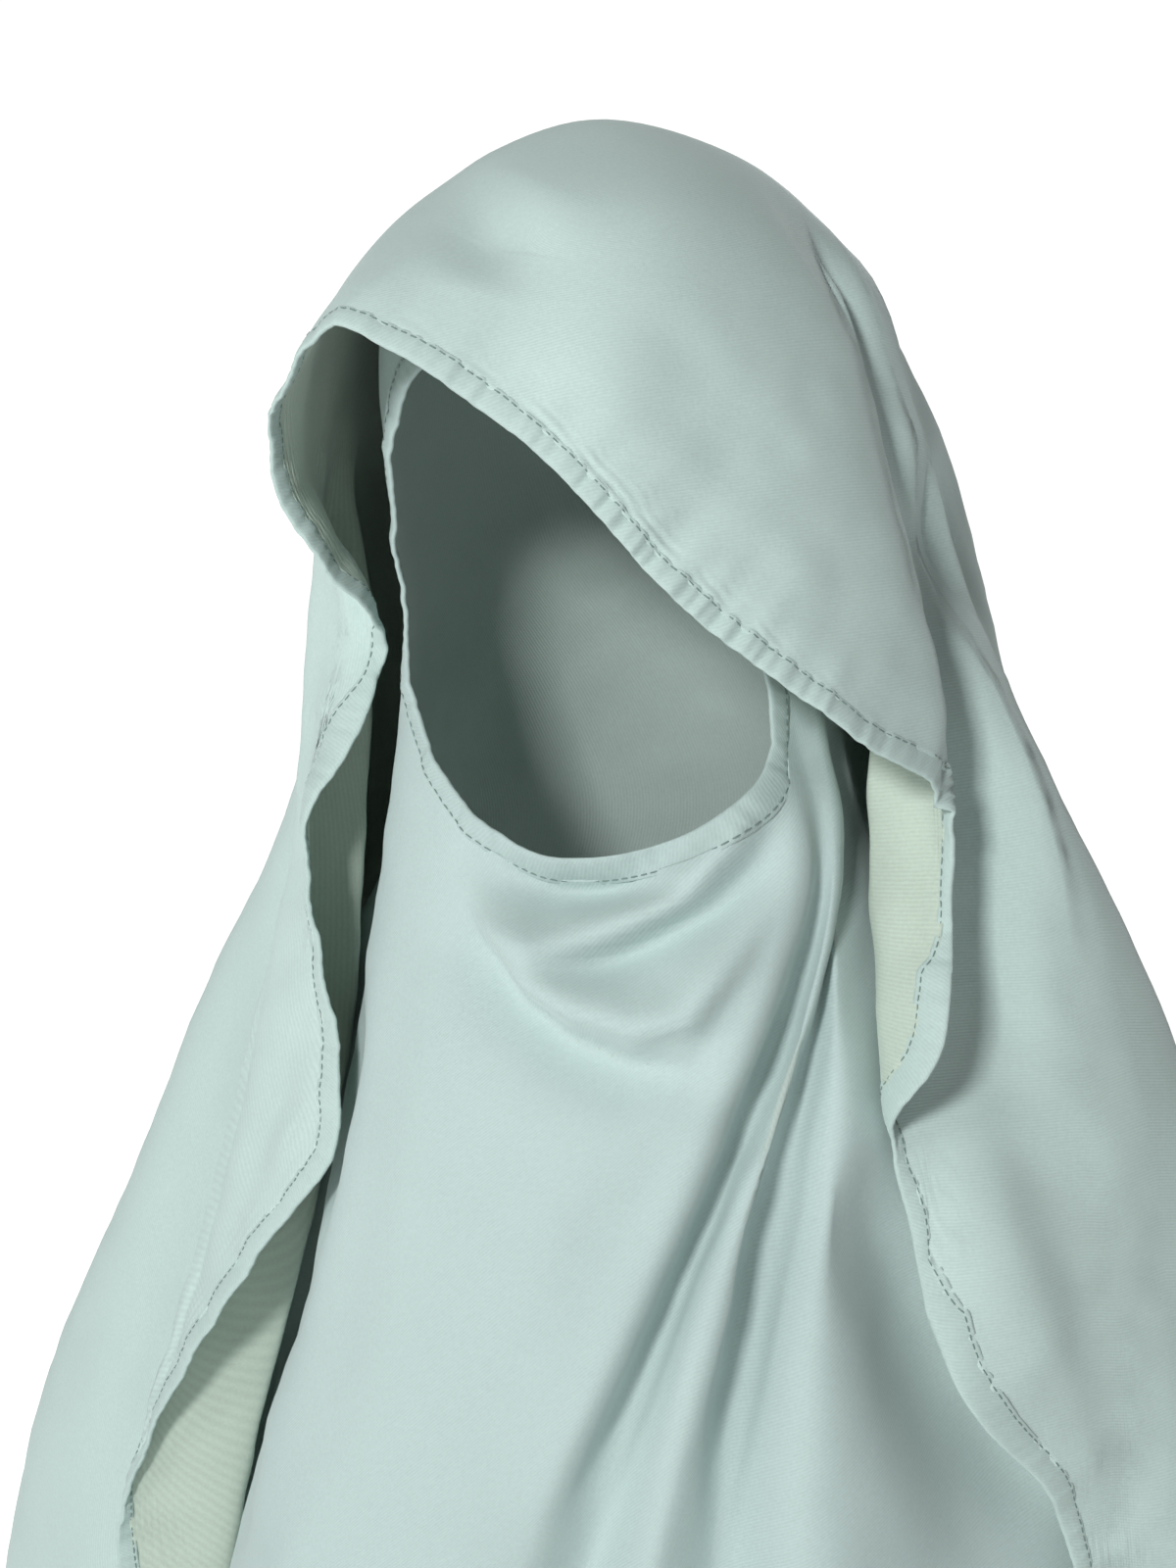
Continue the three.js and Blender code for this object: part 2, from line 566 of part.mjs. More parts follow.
// Band round the face opening, from its free edge to its stitch line.
function faceBand(drape, columns) {
  const sheet = new Sheet(drape);
  const around = columns.map((u) => fromMiddle(u, drape.count)).filter((u) => Math.abs(u) <= OPENING_LINES);
  around.sort((a, b) => a - b);
  const turns = [
    ...around.map((u) => ({ u, side: -1 })),
    ...around.slice(1, -1).reverse().map((u) => ({ u, side: 1 })),
  ];
  const ring = (halfHeight, halfAngle, thickness) =>
    turns.map(({ u, side }) => sheet.add(ovalAt(drape, u, side, halfHeight, halfAngle), thickness));
  const free = ring(OPENING_HALF_HEIGHT, OPENING_HALF_ANGLE, HEM_CLOTH);
  const stitched = ring(
    OPENING_HALF_HEIGHT + FACE_HEM_WIDTH,
    OPENING_HALF_ANGLE + THREE.MathUtils.radToDeg(FACE_HEM_WIDTH / HOOD_HALF_WIDTH),
    CLOTH,
  );
  sheet.join(free, stitched);
  return sheet;
}

// Materials
const OUTER_CREPE = new THREE.MeshStandardMaterial({ color: 0xbaceca, roughness: 0.78, metalness: 0 });
const INNER_CREPE = new THREE.MeshStandardMaterial({ color: 0xb2c8c4, roughness: 0.78, metalness: 0 });
const HEM_CREPE = new THREE.MeshStandardMaterial({ color: 0xaec4bf, roughness: 0.8, metalness: 0 });

// Crown heights of the middle of each cloth
const HOOD_RISE = CLOTH / 2;
const VEIL_RISE = HOOD_RISE + CLOTH + LAYER_GAP;

const veilDrape = makeDrape(
  VEIL_LINES, VEIL_RINGS, VEIL_RISE, VEIL_LEVELS, { ...DROPS, hem: VEIL_LENGTH }, VEIL_LENGTH,
);
const capeDrape = makeDrape(
  CAPE_LINES, HOOD_RINGS, HOOD_RISE, CAPE_LEVELS, { ...DROPS, hem: CAPE_LENGTH }, CAPE_LENGTH,
);
const veilColumns = columnsOf(VEIL_LINES);
const capeColumns = columnsOf(CAPE_LINES);

function mesh(name, sheet, material) {
  const made = new THREE.Mesh(sheet.solid(), material);
  made.name = name;
  return made;
}

const VEIL_ROWS = 16;
const HOOD_ROWS = 5;
const CAPE_ROWS = 12;

const khimar = new THREE.Group();
khimar.name = "khimar_veil";
khimar.add(
  mesh("outer_veil", crownSheet(veilDrape, veilColumns, VEIL_ROWS), OUTER_CREPE),
  mesh("outer_edge_hem", edgeBand(veilDrape, veilColumns), HEM_CREPE),
  mesh("inner_hood_cape", capeSheet(capeDrape, capeColumns, HOOD_ROWS, CAPE_ROWS), INNER_CREPE),
  mesh("face_hem", faceBand(capeDrape, capeColumns), HEM_CREPE),
  mesh("cape_lower_hem", edgeBand(capeDrape, capeColumns), HEM_CREPE),
);

export default khimar;
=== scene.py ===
"""Looks of a khimar veil: fine cloth, turned hems, stitches, crepe, light and camera.

Lengths are in millimetres until a mesh is made, and +Z is up. The face looks towards -Y.
"""

import math

import bpy
import numpy as np
from mathutils import Matrix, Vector
from mathutils.kdtree import KDTree


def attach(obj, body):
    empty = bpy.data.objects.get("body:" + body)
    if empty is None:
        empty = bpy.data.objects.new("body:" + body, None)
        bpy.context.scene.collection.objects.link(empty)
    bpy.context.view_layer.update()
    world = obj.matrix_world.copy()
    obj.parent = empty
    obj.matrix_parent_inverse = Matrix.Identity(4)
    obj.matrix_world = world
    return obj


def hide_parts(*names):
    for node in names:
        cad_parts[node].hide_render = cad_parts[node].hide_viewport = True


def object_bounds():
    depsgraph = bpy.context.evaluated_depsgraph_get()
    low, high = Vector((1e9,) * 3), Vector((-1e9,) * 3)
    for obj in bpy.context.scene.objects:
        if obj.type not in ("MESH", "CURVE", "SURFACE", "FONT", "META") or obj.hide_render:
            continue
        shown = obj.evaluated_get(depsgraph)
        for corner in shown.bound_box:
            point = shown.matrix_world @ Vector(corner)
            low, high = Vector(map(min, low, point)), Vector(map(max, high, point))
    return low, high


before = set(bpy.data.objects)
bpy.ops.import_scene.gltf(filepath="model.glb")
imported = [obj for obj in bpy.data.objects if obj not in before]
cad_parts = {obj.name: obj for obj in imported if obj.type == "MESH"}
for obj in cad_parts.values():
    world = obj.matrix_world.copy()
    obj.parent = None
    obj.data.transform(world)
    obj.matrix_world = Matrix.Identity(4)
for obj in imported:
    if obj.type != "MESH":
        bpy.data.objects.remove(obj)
cad_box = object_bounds()

MM = 0.001

# Cloth and hems
CLOTH = 0.9  # one layer with its nap
HEM_WIDTH = 8  # from the edge to the stitch line
FACE_HEM_WIDTH = 9
SEAM_GAP = 0.3
SOLID_CLOTH = 1.2  # a layer in the solids that these pieces stand for
LAYER_GAP = 0.3

# Reach of the cloth: the tables below give places as shares of these two
SHOULDER_REACH = 200
HOOD_DEPTH = 100

# How far each level lies below the crown
UPPER_CROWN_DROP = 8
LOWER_CROWN_DROP = 30
BROW_DROP = 52
TEMPLE_DROP = 102
CHEEK_DROP = 167
CHIN_DROP = 237
SHOULDER_DROP = 322
CHEST_DROP = 402
WAIST_DROP = 502
VEIL_LENGTH = 865
CAPE_LENGTH = 835

# Face opening of the hood, an upright oval
OPENING_MIDDLE_DROP = 150
OPENING_HALF_HEIGHT = 86
OPENING_HALF_ANGLE = 54
HOOD_HALF_WIDTH = 78


def table(columns, rows):
    """Names the columns of a table, one dict for each row."""
    return [dict(zip(columns, row)) for row in rows]


# Rings round the crown, as half sizes
RING_COLUMNS = ["drop", "side", "front", "back"]
VEIL_RINGS = table(RING_COLUMNS, [
    [UPPER_CROWN_DROP, 38, 43, 42],
    [LOWER_CROWN_DROP, 70, 88, 84],
])
HOOD_RINGS = table(RING_COLUMNS, [
    [UPPER_CROWN_DROP, 31, 36, 36],
    [LOWER_CROWN_DROP, 58, 68, 68],
    [BROW_DROP, 72, 86, 86],
    [TEMPLE_DROP, HOOD_HALF_WIDTH, 93, 96],
    [CHEEK_DROP, 77, 91, 92],
])

# Fold lines of the outer veil, from the tip over the brow round to the wearer's left and back.
# bearing: degrees from straight ahead at the crown. swell: reach of the crown ring.
# steps: facets of the solid.
# end: drop of the line's end at the open edge, as a share of CHIN_DROP, or "hem" for the lower edge.
# The other cells hold the place at each level: [share of SHOULDER_REACH, share of HOOD_DEPTH].
VEIL_LEVELS = ["brow", "temple", "cheek", "chin", "shoulder", "chest", "waist", "hem"]
VEIL_COLUMNS = ["line", "bearing", "swell", "steps", "end"] + VEIL_LEVELS
VEIL_LINES = table(VEIL_COLUMNS, [
    ["tip", -31, 1.02, 3, 0.255, [-0.25, -1.13], [-0.22, -1.42]],
    ["brow", 3, 1, 3, 0.408, [0.015, -1.04], [0.035, -1.24], [0.05, -1.32]],
    ["cheek", 30, 1, 3, 0.622, [0.22, -0.89], [0.245, -1.06], [0.25, -1.19], [0.25, -1.28]],
    ["ear", 58, 1, 3, 0.821, [0.375, -0.51], [0.43, -0.7], [0.48, -0.9], [0.52, -1.08]],
    ["right ridge", 80, 1, 2, 0.983,
        [0.42, -0.18], [0.5, -0.32], [0.575, -0.44], [0.63, -0.62], [0.67, -0.8]],
    ["rear wall", 86, 1, 3, 1.174,
        [0.415, -0.1], [0.49, -0.22], [0.545, -0.34], [0.585, -0.54], [0.67, -1.0]],
    ["right valley", 92, 1, 3, 1.47,
        [0.41, -0.03], [0.47, -0.14], [0.485, -0.28], [0.475, -0.5], [0.51, -0.72], [0.54, -0.88]],
    ["side front", 98, 1, 2, 1.659,
        [0.42, 0.03], [0.505, -0.06], [0.54, -0.12], [0.58, -0.32], [0.58, -0.6], [0.58, -0.92],
        [0.625, -1.1]],
    ["side middle", 105, 1, 2, 2.042,
        [0.43, 0.09], [0.52, 0.02], [0.585, 0], [0.7, -0.12], [0.78, -0.34], [0.8, -0.6],
        [0.79, -0.78], [0.95, -1.1]],
    ["right corner", 110, 1, 2, "hem",
        [0.435, 0.14], [0.525, 0.08], [0.6, 0.06], [0.75, -0.02], [0.885, -0.14], [0.95, -0.32],
        [0.99, -0.56], [1.2, -1]],
    ["right shoulder", 118, 1, 2, "hem",
        [0.43, 0.22], [0.53, 0.16], [0.61, 0.12], [0.753, 0.1], [0.925, 0.08], [1.055, 0.04], [1.18, 0],
        [1.5, -0.1]],
    ["back valley", 128, 1, 2, "hem",
        [0.42, 0.38], [0.505, 0.34], [0.575, 0.42], [0.69, 0.52], [0.86, 0.58], [0.98, 0.64],
        [1.11, 0.68], [1.42, 0.85]],
    ["back right", 140, 1, 3, "hem",
        [0.36, 0.66], [0.485, 0.84], [0.55, 1.12], [0.58, 1.24], [0.66, 1.32], [0.75, 1.42],
        [0.86, 1.52], [1.08, 1.9]],
    ["back fold right", 160, 1, 2, "hem",
        [0.19, 0.98], [0.22, 1.26], [0.26, 1.46], [0.28, 1.52], [0.32, 1.5], [0.37, 1.64],
        [0.43, 1.76], [0.55, 2.35]],
    ["back middle", 180, 1, 2, "hem",
        [0, 1.04], [0, 1.32], [0, 1.5], [0, 1.5], [0, 1.46], [0, 1.56], [0, 1.68], [0, 2.22]],
    ["back fold left", 200, 1, 3, "hem",
        [-0.2, 0.98], [-0.23, 1.22], [-0.27, 1.38], [-0.3, 1.42], [-0.34, 1.46], [-0.4, 1.58],
        [-0.46, 1.72], [-0.575, 2.32]],
    ["back left", 220, 1, 3, "hem",
        [-0.36, 0.64], [-0.46, 0.76], [-0.54, 0.92], [-0.61, 1], [-0.73, 1.12], [-0.87, 1.24],
        [-1.03, 1.36], [-1.26, 1.7]],
    ["left shoulder", 242, 1, 2, "hem",
        [-0.425, 0.22], [-0.5, 0.22], [-0.63, 0.24], [-0.725, 0.18], [-0.965, 0.18], [-1.17, 0.14],
        [-1.425, 0.08], [-1.74, -0.1]],
    ["left front", 252, 1, 2, "hem",
        [-0.43, 0.1], [-0.495, 0.06], [-0.595, 0.04], [-0.65, -0.04], [-0.78, -0.08], [-0.95, -0.14],
        [-1.18, -0.26], [-1.49, -0.6]],
    ["left valley", 258, 1, 3, 2.94,
        [-0.425, 0], [-0.485, -0.05], [-0.475, -0.08], [-0.5, -0.18], [-0.56, -0.24], [-0.67, -0.32],
        [-0.83, -0.42], [-1.13, -0.75]],
    ["left ridge", 264, 1, 3, 2.184,
        [-0.42, -0.08], [-0.495, -0.18], [-0.575, -0.2], [-0.605, -0.34], [-0.72, -0.46], [-0.855, -0.54],
        [-1.04, -0.62], [-1.3, -0.9]],
    ["flap lower", 270, 1, 3, 1.613,
        [-0.415, -0.16], [-0.49, -0.28], [-0.525, -0.28], [-0.55, -0.48], [-0.545, -0.73], [-0.65, -0.83],
        [-0.86, -0.86]],
    ["flap middle", 273, 1, 2, 1.378,
        [-0.415, -0.21], [-0.49, -0.32], [-0.495, -0.32], [-0.54, -0.535], [-0.46, -0.81], [-0.4, -0.99]],
    ["flap upper", 276, 1, 2, 1.061,
        [-0.415, -0.26], [-0.49, -0.36], [-0.46, -0.36], [-0.535, -0.575], [-0.42, -0.86]],
    ["flap fold", 282, 1, 2, 0.78,
        [-0.415, -0.36], [-0.485, -0.45], [-0.415, -0.36], [-0.36, -0.76]],
    ["cup wall", 294, 1, 2, 0.607,
        [-0.375, -0.6], [-0.465, -0.66], [-0.38, -0.67]],
    ["cup edge", 308, 1, 2, 0.392,
        [-0.325, -0.84], [-0.48, -0.88], [-0.475, -0.88]],
])

# Fold lines of the hood and cape, from the middle of the face round to the wearer's left and back.
CAPE_LEVELS = ["chin", "shoulder", "chest", "waist", "hem"]
CAPE_COLUMNS = ["line", "bearing", "steps"] + CAPE_LEVELS
OPENING_LINES = 4  # lines from the middle of the opening to its side
CAPE_LINES = table(CAPE_COLUMNS, [
    ["middle", 0, 3, [0.015, -0.94], [-0.04, -1.18], [-0.2, -1.3], [-0.39, -1.4], [-0.6, -1.75]],
    ["ridge left", 23, 3, [0.225, -0.92], [0.11, -1.15], [-0.06, -1.35], [-0.25, -1.48], [-0.42, -1.86]],
    ["main ridge", 42, 2, [0.4, -0.8], [0.26, -1.03], [0.07, -1.28], [-0.125, -1.46], [-0.28, -1.9]],
    ["first slot", 54, 2, [0.42, -0.68], [0.3, -0.88], [0.14, -1.12], [-0.02, -1.28], [-0.12, -1.65]],
    ["middle ridge", 60, 2, [0.435, -0.68], [0.35, -0.96], [0.225, -1.24], [0.11, -1.46], [0.04, -1.9]],
    ["second slot", 66, 2, [0.43, -0.56], [0.37, -0.78], [0.29, -1.04], [0.21, -1.2], [0.2, -1.6]],
    ["panel ridge", 74, 2, [0.42, -0.56], [0.43, -0.86], [0.4, -1.16], [0.38, -1.38], [0.46, -1.8]],
    ["panel side", 86, 2, [0.44, -0.38], [0.53, -0.55], [0.58, -0.76], [0.65, -0.88], [0.8, -1.15]],
    ["right shoulder", 104, 3, [0.43, 0], [0.75, -0.02], [0.9, -0.04], [1.02, -0.04], [1.26, -0.08]],
    ["back right", 135, 3, [0.38, 0.62], [0.56, 0.85], [0.68, 1.02], [0.8, 1.14], [1.02, 1.45]],
    ["back", 180, 3, [0, 0.98], [0, 1.2], [0, 1.32], [0, 1.44], [0, 1.85]],
    ["back left", 225, 3, [-0.38, 0.62], [-0.56, 0.8], [-0.68, 0.9], [-0.8, 1.02], [-1.04, 1.35]],
    ["left shoulder", 256, 2, [-0.43, 0.02], [-0.7, 0.12], [-0.86, 0.08], [-1.04, 0.02], [-1.36, -0.2]],
    ["left slot", 274, 2, [-0.4, -0.18], [-0.5, -0.26], [-0.61, -0.32], [-0.74, -0.4], [-1.06, -0.72]],
    ["left fold", 286, 2, [-0.4, -0.34], [-0.49, -0.46], [-0.59, -0.58], [-0.76, -0.7], [-1.16, -1]],
    ["left ridge", 300, 2, [-0.385, -0.54], [-0.455, -0.68], [-0.555, -0.8], [-0.73, -0.9], [-1.1, -1.25]],
    ["left cheek", 306, 2, [-0.33, -0.68], [-0.38, -0.9], [-0.46, -1.06], [-0.64, -1.14], [-0.98, -1.5]],
    ["left chest", 318, 3, [-0.23, -0.82], [-0.27, -1.06], [-0.36, -1.2], [-0.56, -1.28], [-0.86, -1.62]],
    ["left middle", 337, 3, [-0.11, -0.91], [-0.15, -1.14], [-0.28, -1.26], [-0.48, -1.34], [-0.73, -1.7]],
])

# Camera, in metres and degrees
CAMERA_AZIMUTH = 18
CAMERA_ELEVATION = 12
CAMERA_ROLL = 4
CAMERA_TARGET = np.array([-0.018, 0, -0.232])
CAMERA_DISTANCE = 0.85
CAMERA_LENS = 53
SENSOR_HEIGHT = 36
PICTURE_WIDTH = 1200
PICTURE_HEIGHT = 1600


def view_axes():
    """Right, up and back of the camera."""
    azimuth, elevation, roll = (math.radians(a) for a in (CAMERA_AZIMUTH, CAMERA_ELEVATION, CAMERA_ROLL))
    level = math.cos(elevation)
    back = np.array([math.sin(azimuth) * level, -math.cos(azimuth) * level, math.sin(elevation)])
    level_right = np.array([math.cos(azimuth), math.sin(azimuth), 0])
    level_up = np.cross(back, level_right)
    right = level_right * math.cos(roll) - level_up * math.sin(roll)
    up = level_right * math.sin(roll) + level_up * math.cos(roll)
    return right, up, back


VIEW_RIGHT, VIEW_UP, VIEW_BACK = view_axes()
EYE = CAMERA_TARGET + VIEW_BACK * CAMERA_DISTANCE


def in_picture(points):
    """Where points in millimetres lie in the picture, in its pixels."""
    offset = points * MM - EYE
    scale = CAMERA_LENS / SENSOR_HEIGHT * PICTURE_HEIGHT / -(offset @ VIEW_BACK)
    x = PICTURE_WIDTH / 2 + scale * (offset @ VIEW_RIGHT)
    y = PICTURE_HEIGHT / 2 - scale * (offset @ VIEW_UP)
    return np.stack([x, y], axis=-1)


def make_camera():
    camera = bpy.data.cameras.new("camera")
    camera.lens = CAMERA_LENS
    camera.sensor_fit = "VERTICAL"
    camera.sensor_height = SENSOR_HEIGHT
    placed = bpy.data.objects.new("camera", camera)
    bpy.context.collection.objects.link(placed)
    turn = Matrix((VIEW_RIGHT, VIEW_UP, VIEW_BACK)).transposed().to_4x4()
    placed.matrix_world = Matrix.Translation(EYE) @ turn
    bpy.context.scene.camera = placed


make_camera()


def smooth(a, b, c, d, before, step, after, t):
    """A smooth curve through b and c, at share t from b to c, with the spans between the four points."""
    slope_b = (b - a) / before * step + (c - b) / step * before
    slope_c = (c - b) / step * after + (d - c) / after * step
    tangent_b = slope_b / (before + step) * step
    tangent_c = slope_c / (step + after) * step
    return hermite(b, c, tangent_b, tangent_c, t)


def hermite(b, c, tangent_b, tangent_c, t):
    t2 = t * t
    t3 = t2 * t
    ends = (2 * t3 - 3 * t2 + 1) * b + (3 * t2 - 2 * t3) * c
    return ends + (t3 - 2 * t2 + t) * tangent_b + (t3 - t2) * tangent_c


def length_of(vectors):
    return np.linalg.norm(vectors, axis=-1)


def unit(vectors):
    return vectors / np.maximum(length_of(vectors), 1e-9)[..., None]


def ease(values, low, high):
    """0 below low, 1 above high, smooth between."""
    t = np.clip((values - low) / (high - low), 0, 1)
    return t * t * (3 - 2 * t)


BROW_ROW = 3  # in both nets, the last row on the way to which the cloth's spread counts
SEARCH_ROUNDS = 50  # halvings in the search for a drop
SEARCH_REACH = 1.2  # times the length of the cloth
LEAST_SPAN = 1e-3  # between neighbouring places
STEEPEST = 3  # slope of the open edge at a fold line, times the mean slope beside it
SMALL_SHARE = 0.02
SMALL_STEP = 0.5
INSET_STEPS = 8
EVENING_ROUNDS = 2


class Drape:
    """A net of places, one row for each level and one column for each fold line, as in the solids."""

    def __init__(self, drops, places, end_drops):
        self.drops = np.array(drops, float)
        self.places = np.array(places, float)
        self.count = self.places.shape[1]
        mean = length_of(self.places).mean(axis=1)
        stations = [0.0]
        for k in range(1, len(drops)):
            out = mean[k] - mean[k - 1] if k <= BROW_ROW else 0
            stations.append(stations[-1] + math.hypot(out, drops[k] - drops[k - 1]))
        self.stations = np.array(stations)
        self.ends = self.station_at(np.array(end_drops, float))
        self.slopes = [self.edge_slope(i) for i in range(self.count)]

    def around(self, level, u):
        i = np.floor(u).astype(int)
        a, b, c, d = (self.places[level, (i + k) % self.count] for k in (-1, 0, 1, 2))
        spans = [np.maximum(length_of(p - q), LEAST_SPAN)[..., None] for p, q in ((b, a), (c, b), (d, c))]
        return smooth(a, b, c, d, *spans, (u - i)[..., None])

    def bracket(self, station):
        last = len(self.stations) - 1
        k = np.clip(np.searchsorted(self.stations, station, side="right") - 1, 0, last - 1)
        four = [np.clip(k + j, 0, last) for j in (-1, 0, 1, 2)]
        at = [self.stations[j] for j in four]
        step = at[2] - at[1]
        before = np.where(k == 0, step, at[1] - at[0])
        after = np.where(k + 1 == last, step, at[3] - at[2])
        return four, (before, step, after), (station - at[1]) / step, k == 0

    def height_at(self, station):
        four, spans, share, first = self.bracket(station)
        z = [-self.drops[j] for j in four]
        z[0] = np.where(first, z[2], z[0])
        return smooth(*z, *spans, share)

    def station_at(self, drop):
        drop = np.asarray(drop, float)
        low = np.zeros_like(drop)
        high = np.full_like(drop, self.stations[-1] * SEARCH_REACH)
        for _ in range(SEARCH_ROUNDS):
            middle = (low + high) / 2
            above = -self.height_at(middle) < drop
            low = np.where(above, middle, low)
            high = np.where(above, high, middle)
        return (low + high) / 2

    def point(self, u, station):
        u, station = np.broadcast_arrays(np.asarray(u, float), np.asarray(station, float))
        four, spans, share, first = self.bracket(station)
        places = [self.around(j, u) for j in four]
        places[0] = np.where(first[..., None], -places[2], places[0])
        flat = smooth(*places, *(s[..., None] for s in spans), share[..., None])
        return np.concatenate([flat, self.height_at(station)[..., None]], axis=-1)

    def edge_slope(self, i):
        end = self.ends[i]
        here = self.point(i, end)
        before = max(float(length_of(here - self.point(i - 1, end))), 1)
        after = max(float(length_of(here - self.point(i + 1, end))), 1)
        slope_before = (end - self.ends[i - 1]) / before
        slope_after = (self.ends[(i + 1) % self.count] - end) / after
        turns = slope_before * slope_after <= 0
        slope = 0 if turns else 2 * slope_before * slope_after / (slope_before + slope_after)
        return slope * before, slope * after

    def edge_station(self, u):
        i = np.floor(u).astype(int) % self.count
        j = (i + 1) % self.count
        slopes = np.array(self.slopes)
        most = STEEPEST * np.abs(self.ends[j] - self.ends[i])
        start = np.clip(slopes[i, 1], -most, most)
        finish = np.clip(slopes[j, 0], -most, most)
        return hermite(self.ends[i], self.ends[j], start, finish, u - np.floor(u))

    def directions(self, u, station):
        s = np.maximum(station, 2 * SMALL_STEP)
        across = self.point(u + SMALL_SHARE, s) - self.point(u - SMALL_SHARE, s)
        down = self.point(u, s + SMALL_STEP) - self.point(u, s - SMALL_STEP)
        return across / (2 * SMALL_SHARE), down / (2 * SMALL_STEP)

    def normal(self, u, station):
        across, down = self.directions(u, station)
        return unit(np.cross(down, across))

    def inset(self, edge_u, width):
        """Place a width in from the open edge, walked over the cloth square to the edge."""
        ahead = edge_u + SMALL_SHARE
        behind = edge_u - SMALL_SHARE
        along = self.point(ahead, self.edge_station(ahead)) - self.point(behind, self.edge_station(behind))
        u = np.array(edge_u, float)
        station = self.edge_station(u)
        for _ in range(INSET_STEPS):
            across, down = self.directions(u, station)
            inward = unit(np.cross(np.cross(down, across), along)) * (width / INSET_STEPS)
            aa, ad, dd = ((p * q).sum(-1) for p, q in ((across, across), (across, down), (down, down)))
            am, dm = ((p * inward).sum(-1) for p in (across, down))
            determinant = aa * dd - ad * ad
            u = u + (am * dd - dm * ad) / determinant
            station = station + (dm * aa - am * ad) / determinant
        return u, station

    def set_edge_moves(self, steps):
        """Moves from the open edge to its stitch line, evened out where the edge turns sharply."""
        columns = np.concatenate([i + np.arange(n) / n for i, n in enumerate(steps)])
        u, station = self.inset(columns, HEM_WIDTH)
        moves = np.stack([u - columns, station - self.edge_station(columns)])
        for _ in range(EVENING_ROUNDS):
            moves = (np.roll(moves, 1, axis=1) + 2 * moves + np.roll(moves, -1, axis=1)) / 4
        self.move_columns = columns
        self.moves = moves

    def edge_place(self, edge_u, width):
        """Place a width in from the open edge: its u and its station."""
        wrapped = edge_u % self.count
        across, down = (np.interp(wrapped, self.move_columns, m, period=self.count) for m in self.moves)
        return edge_u + across * width / HEM_WIDTH, self.edge_station(edge_u) + down * width / HEM_WIDTH


def ring_places(ring, bearings, swells):
    angle = np.radians(bearings)
    x = np.sin(angle)
    y = -np.cos(angle)
    depth = np.where(y < 0, ring["front"], ring["back"])
    reach = swells / np.hypot(x / ring["side"], y / depth)
    return np.stack([x * reach, y * reach], axis=-1)


DROPS = {
    "brow": BROW_DROP,
    "temple": TEMPLE_DROP,
    "cheek": CHEEK_DROP,
    "chin": CHIN_DROP,
    "shoulder": SHOULDER_DROP,
    "chest": CHEST_DROP,
    "waist": WAIST_DROP,
}


def make_drape(lines, rings, rise, level_names, length_drop):
    bearings = np.array([line["bearing"] for line in lines], float)
    swells = np.array([line.get("swell", 1) for line in lines], float)
    drops = [-rise] + [ring["drop"] for ring in rings]
    places = [np.zeros((len(lines), 2))] + [ring_places(ring, bearings, swells) for ring in rings]
    for name in level_names:
        cells = []
        for line in lines:
            known = [line[n] for n in level_names[: level_names.index(name) + 1] if n in line]
            cells.append(known[-1])
        drops.append(DROPS.get(name, length_drop))
        places.append(np.array(cells) * [SHOULDER_REACH, HOOD_DEPTH])
    ends = [line.get("end", "hem") for line in lines]
    drape = Drape(drops, places, [length_drop if end == "hem" else end * CHIN_DROP for end in ends])
    drape.set_edge_moves([line["steps"] for line in lines])
    return drape


HOOD_RISE = SOLID_CLOTH / 2
VEIL_RISE = HOOD_RISE + SOLID_CLOTH + LAYER_GAP
veil_drape = make_drape(VEIL_LINES, VEIL_RINGS, VEIL_RISE, VEIL_LEVELS, VEIL_LENGTH)
cape_drape = make_drape(CAPE_LINES, HOOD_RINGS, HOOD_RISE, CAPE_LEVELS, CAPE_LENGTH)


# Relief: how far the cloth stands out from its drape, in millimetres
WAVE_COUNT = 14
WAVELENGTH_SHARES = (0.7, 1.6)  # shortest and longest, as shares of the wavelength that is asked for


def waves(points, wavelength, seed):
    """A soft random field of about unit size."""
    rng = np.random.default_rng(seed)
    total = np.zeros(points.shape[:-1])
    for _ in range(WAVE_COUNT):
        direction = unit(rng.normal(size=3))
        turn = 2 * math.pi / (wavelength * rng.uniform(*WAVELENGTH_SHARES))
        total += np.sin(points @ direction * turn + rng.uniform(0, 2 * math.pi))
    return total / math.sqrt(WAVE_COUNT)


# height: less than 1 draws the waves out in height
UNEVENNESS = table(["size", "wavelength", "height", "seed"], [
    [0.5, 55, 1, 3],
    [0.7, 46, 0.3, 5],
    [0.2, 19, 1, 8],
])
CALM_DROPS = (25, 110)  # calm at the crown down to the first of these, and uneven from the second


def unevenness(points):
    """Small dents and long soft folds, the same in both layers so that they stay clear of each other."""
    total = 0
    for row in UNEVENNESS:
        total = total + row["size"] * waves(points * [1, 1, row["height"]], row["wavelength"], row["seed"])
    return ease(-points[..., 2], *CALM_DROPS) * total


def beside_line(place, line):
    """For each place, its distance from a line, the side of it that it is on, and its share along it."""
    spans = length_of(line[1:] - line[:-1])
    before = np.concatenate([[0], np.cumsum(spans)])
    nearest = np.full(place.shape[:-1], np.inf)
    side = np.zeros(nearest.shape)
    along = np.zeros(nearest.shape)
    for start, end, span, done in zip(line[:-1], line[1:], spans, before):
        direction = (end - start) / span
        offset = place - start
        t = np.clip(offset @ direction, 0, span)
        distance = length_of(offset - t[..., None] * direction)
        closer = distance < nearest
        nearest = np.where(closer, distance, nearest)
        turn = direction[0] * offset[..., 1] - direction[1] * offset[..., 0]
        side = np.where(closer, np.sign(turn), side)
        along = np.where(closer, (done + t) / before[-1], along)
    return nearest, side, along


SHOWN_FACING = (0.02, 0.24)  # how far cloth has to face the camera: to have any of a fold, and all of it
FADE_START = -0.02


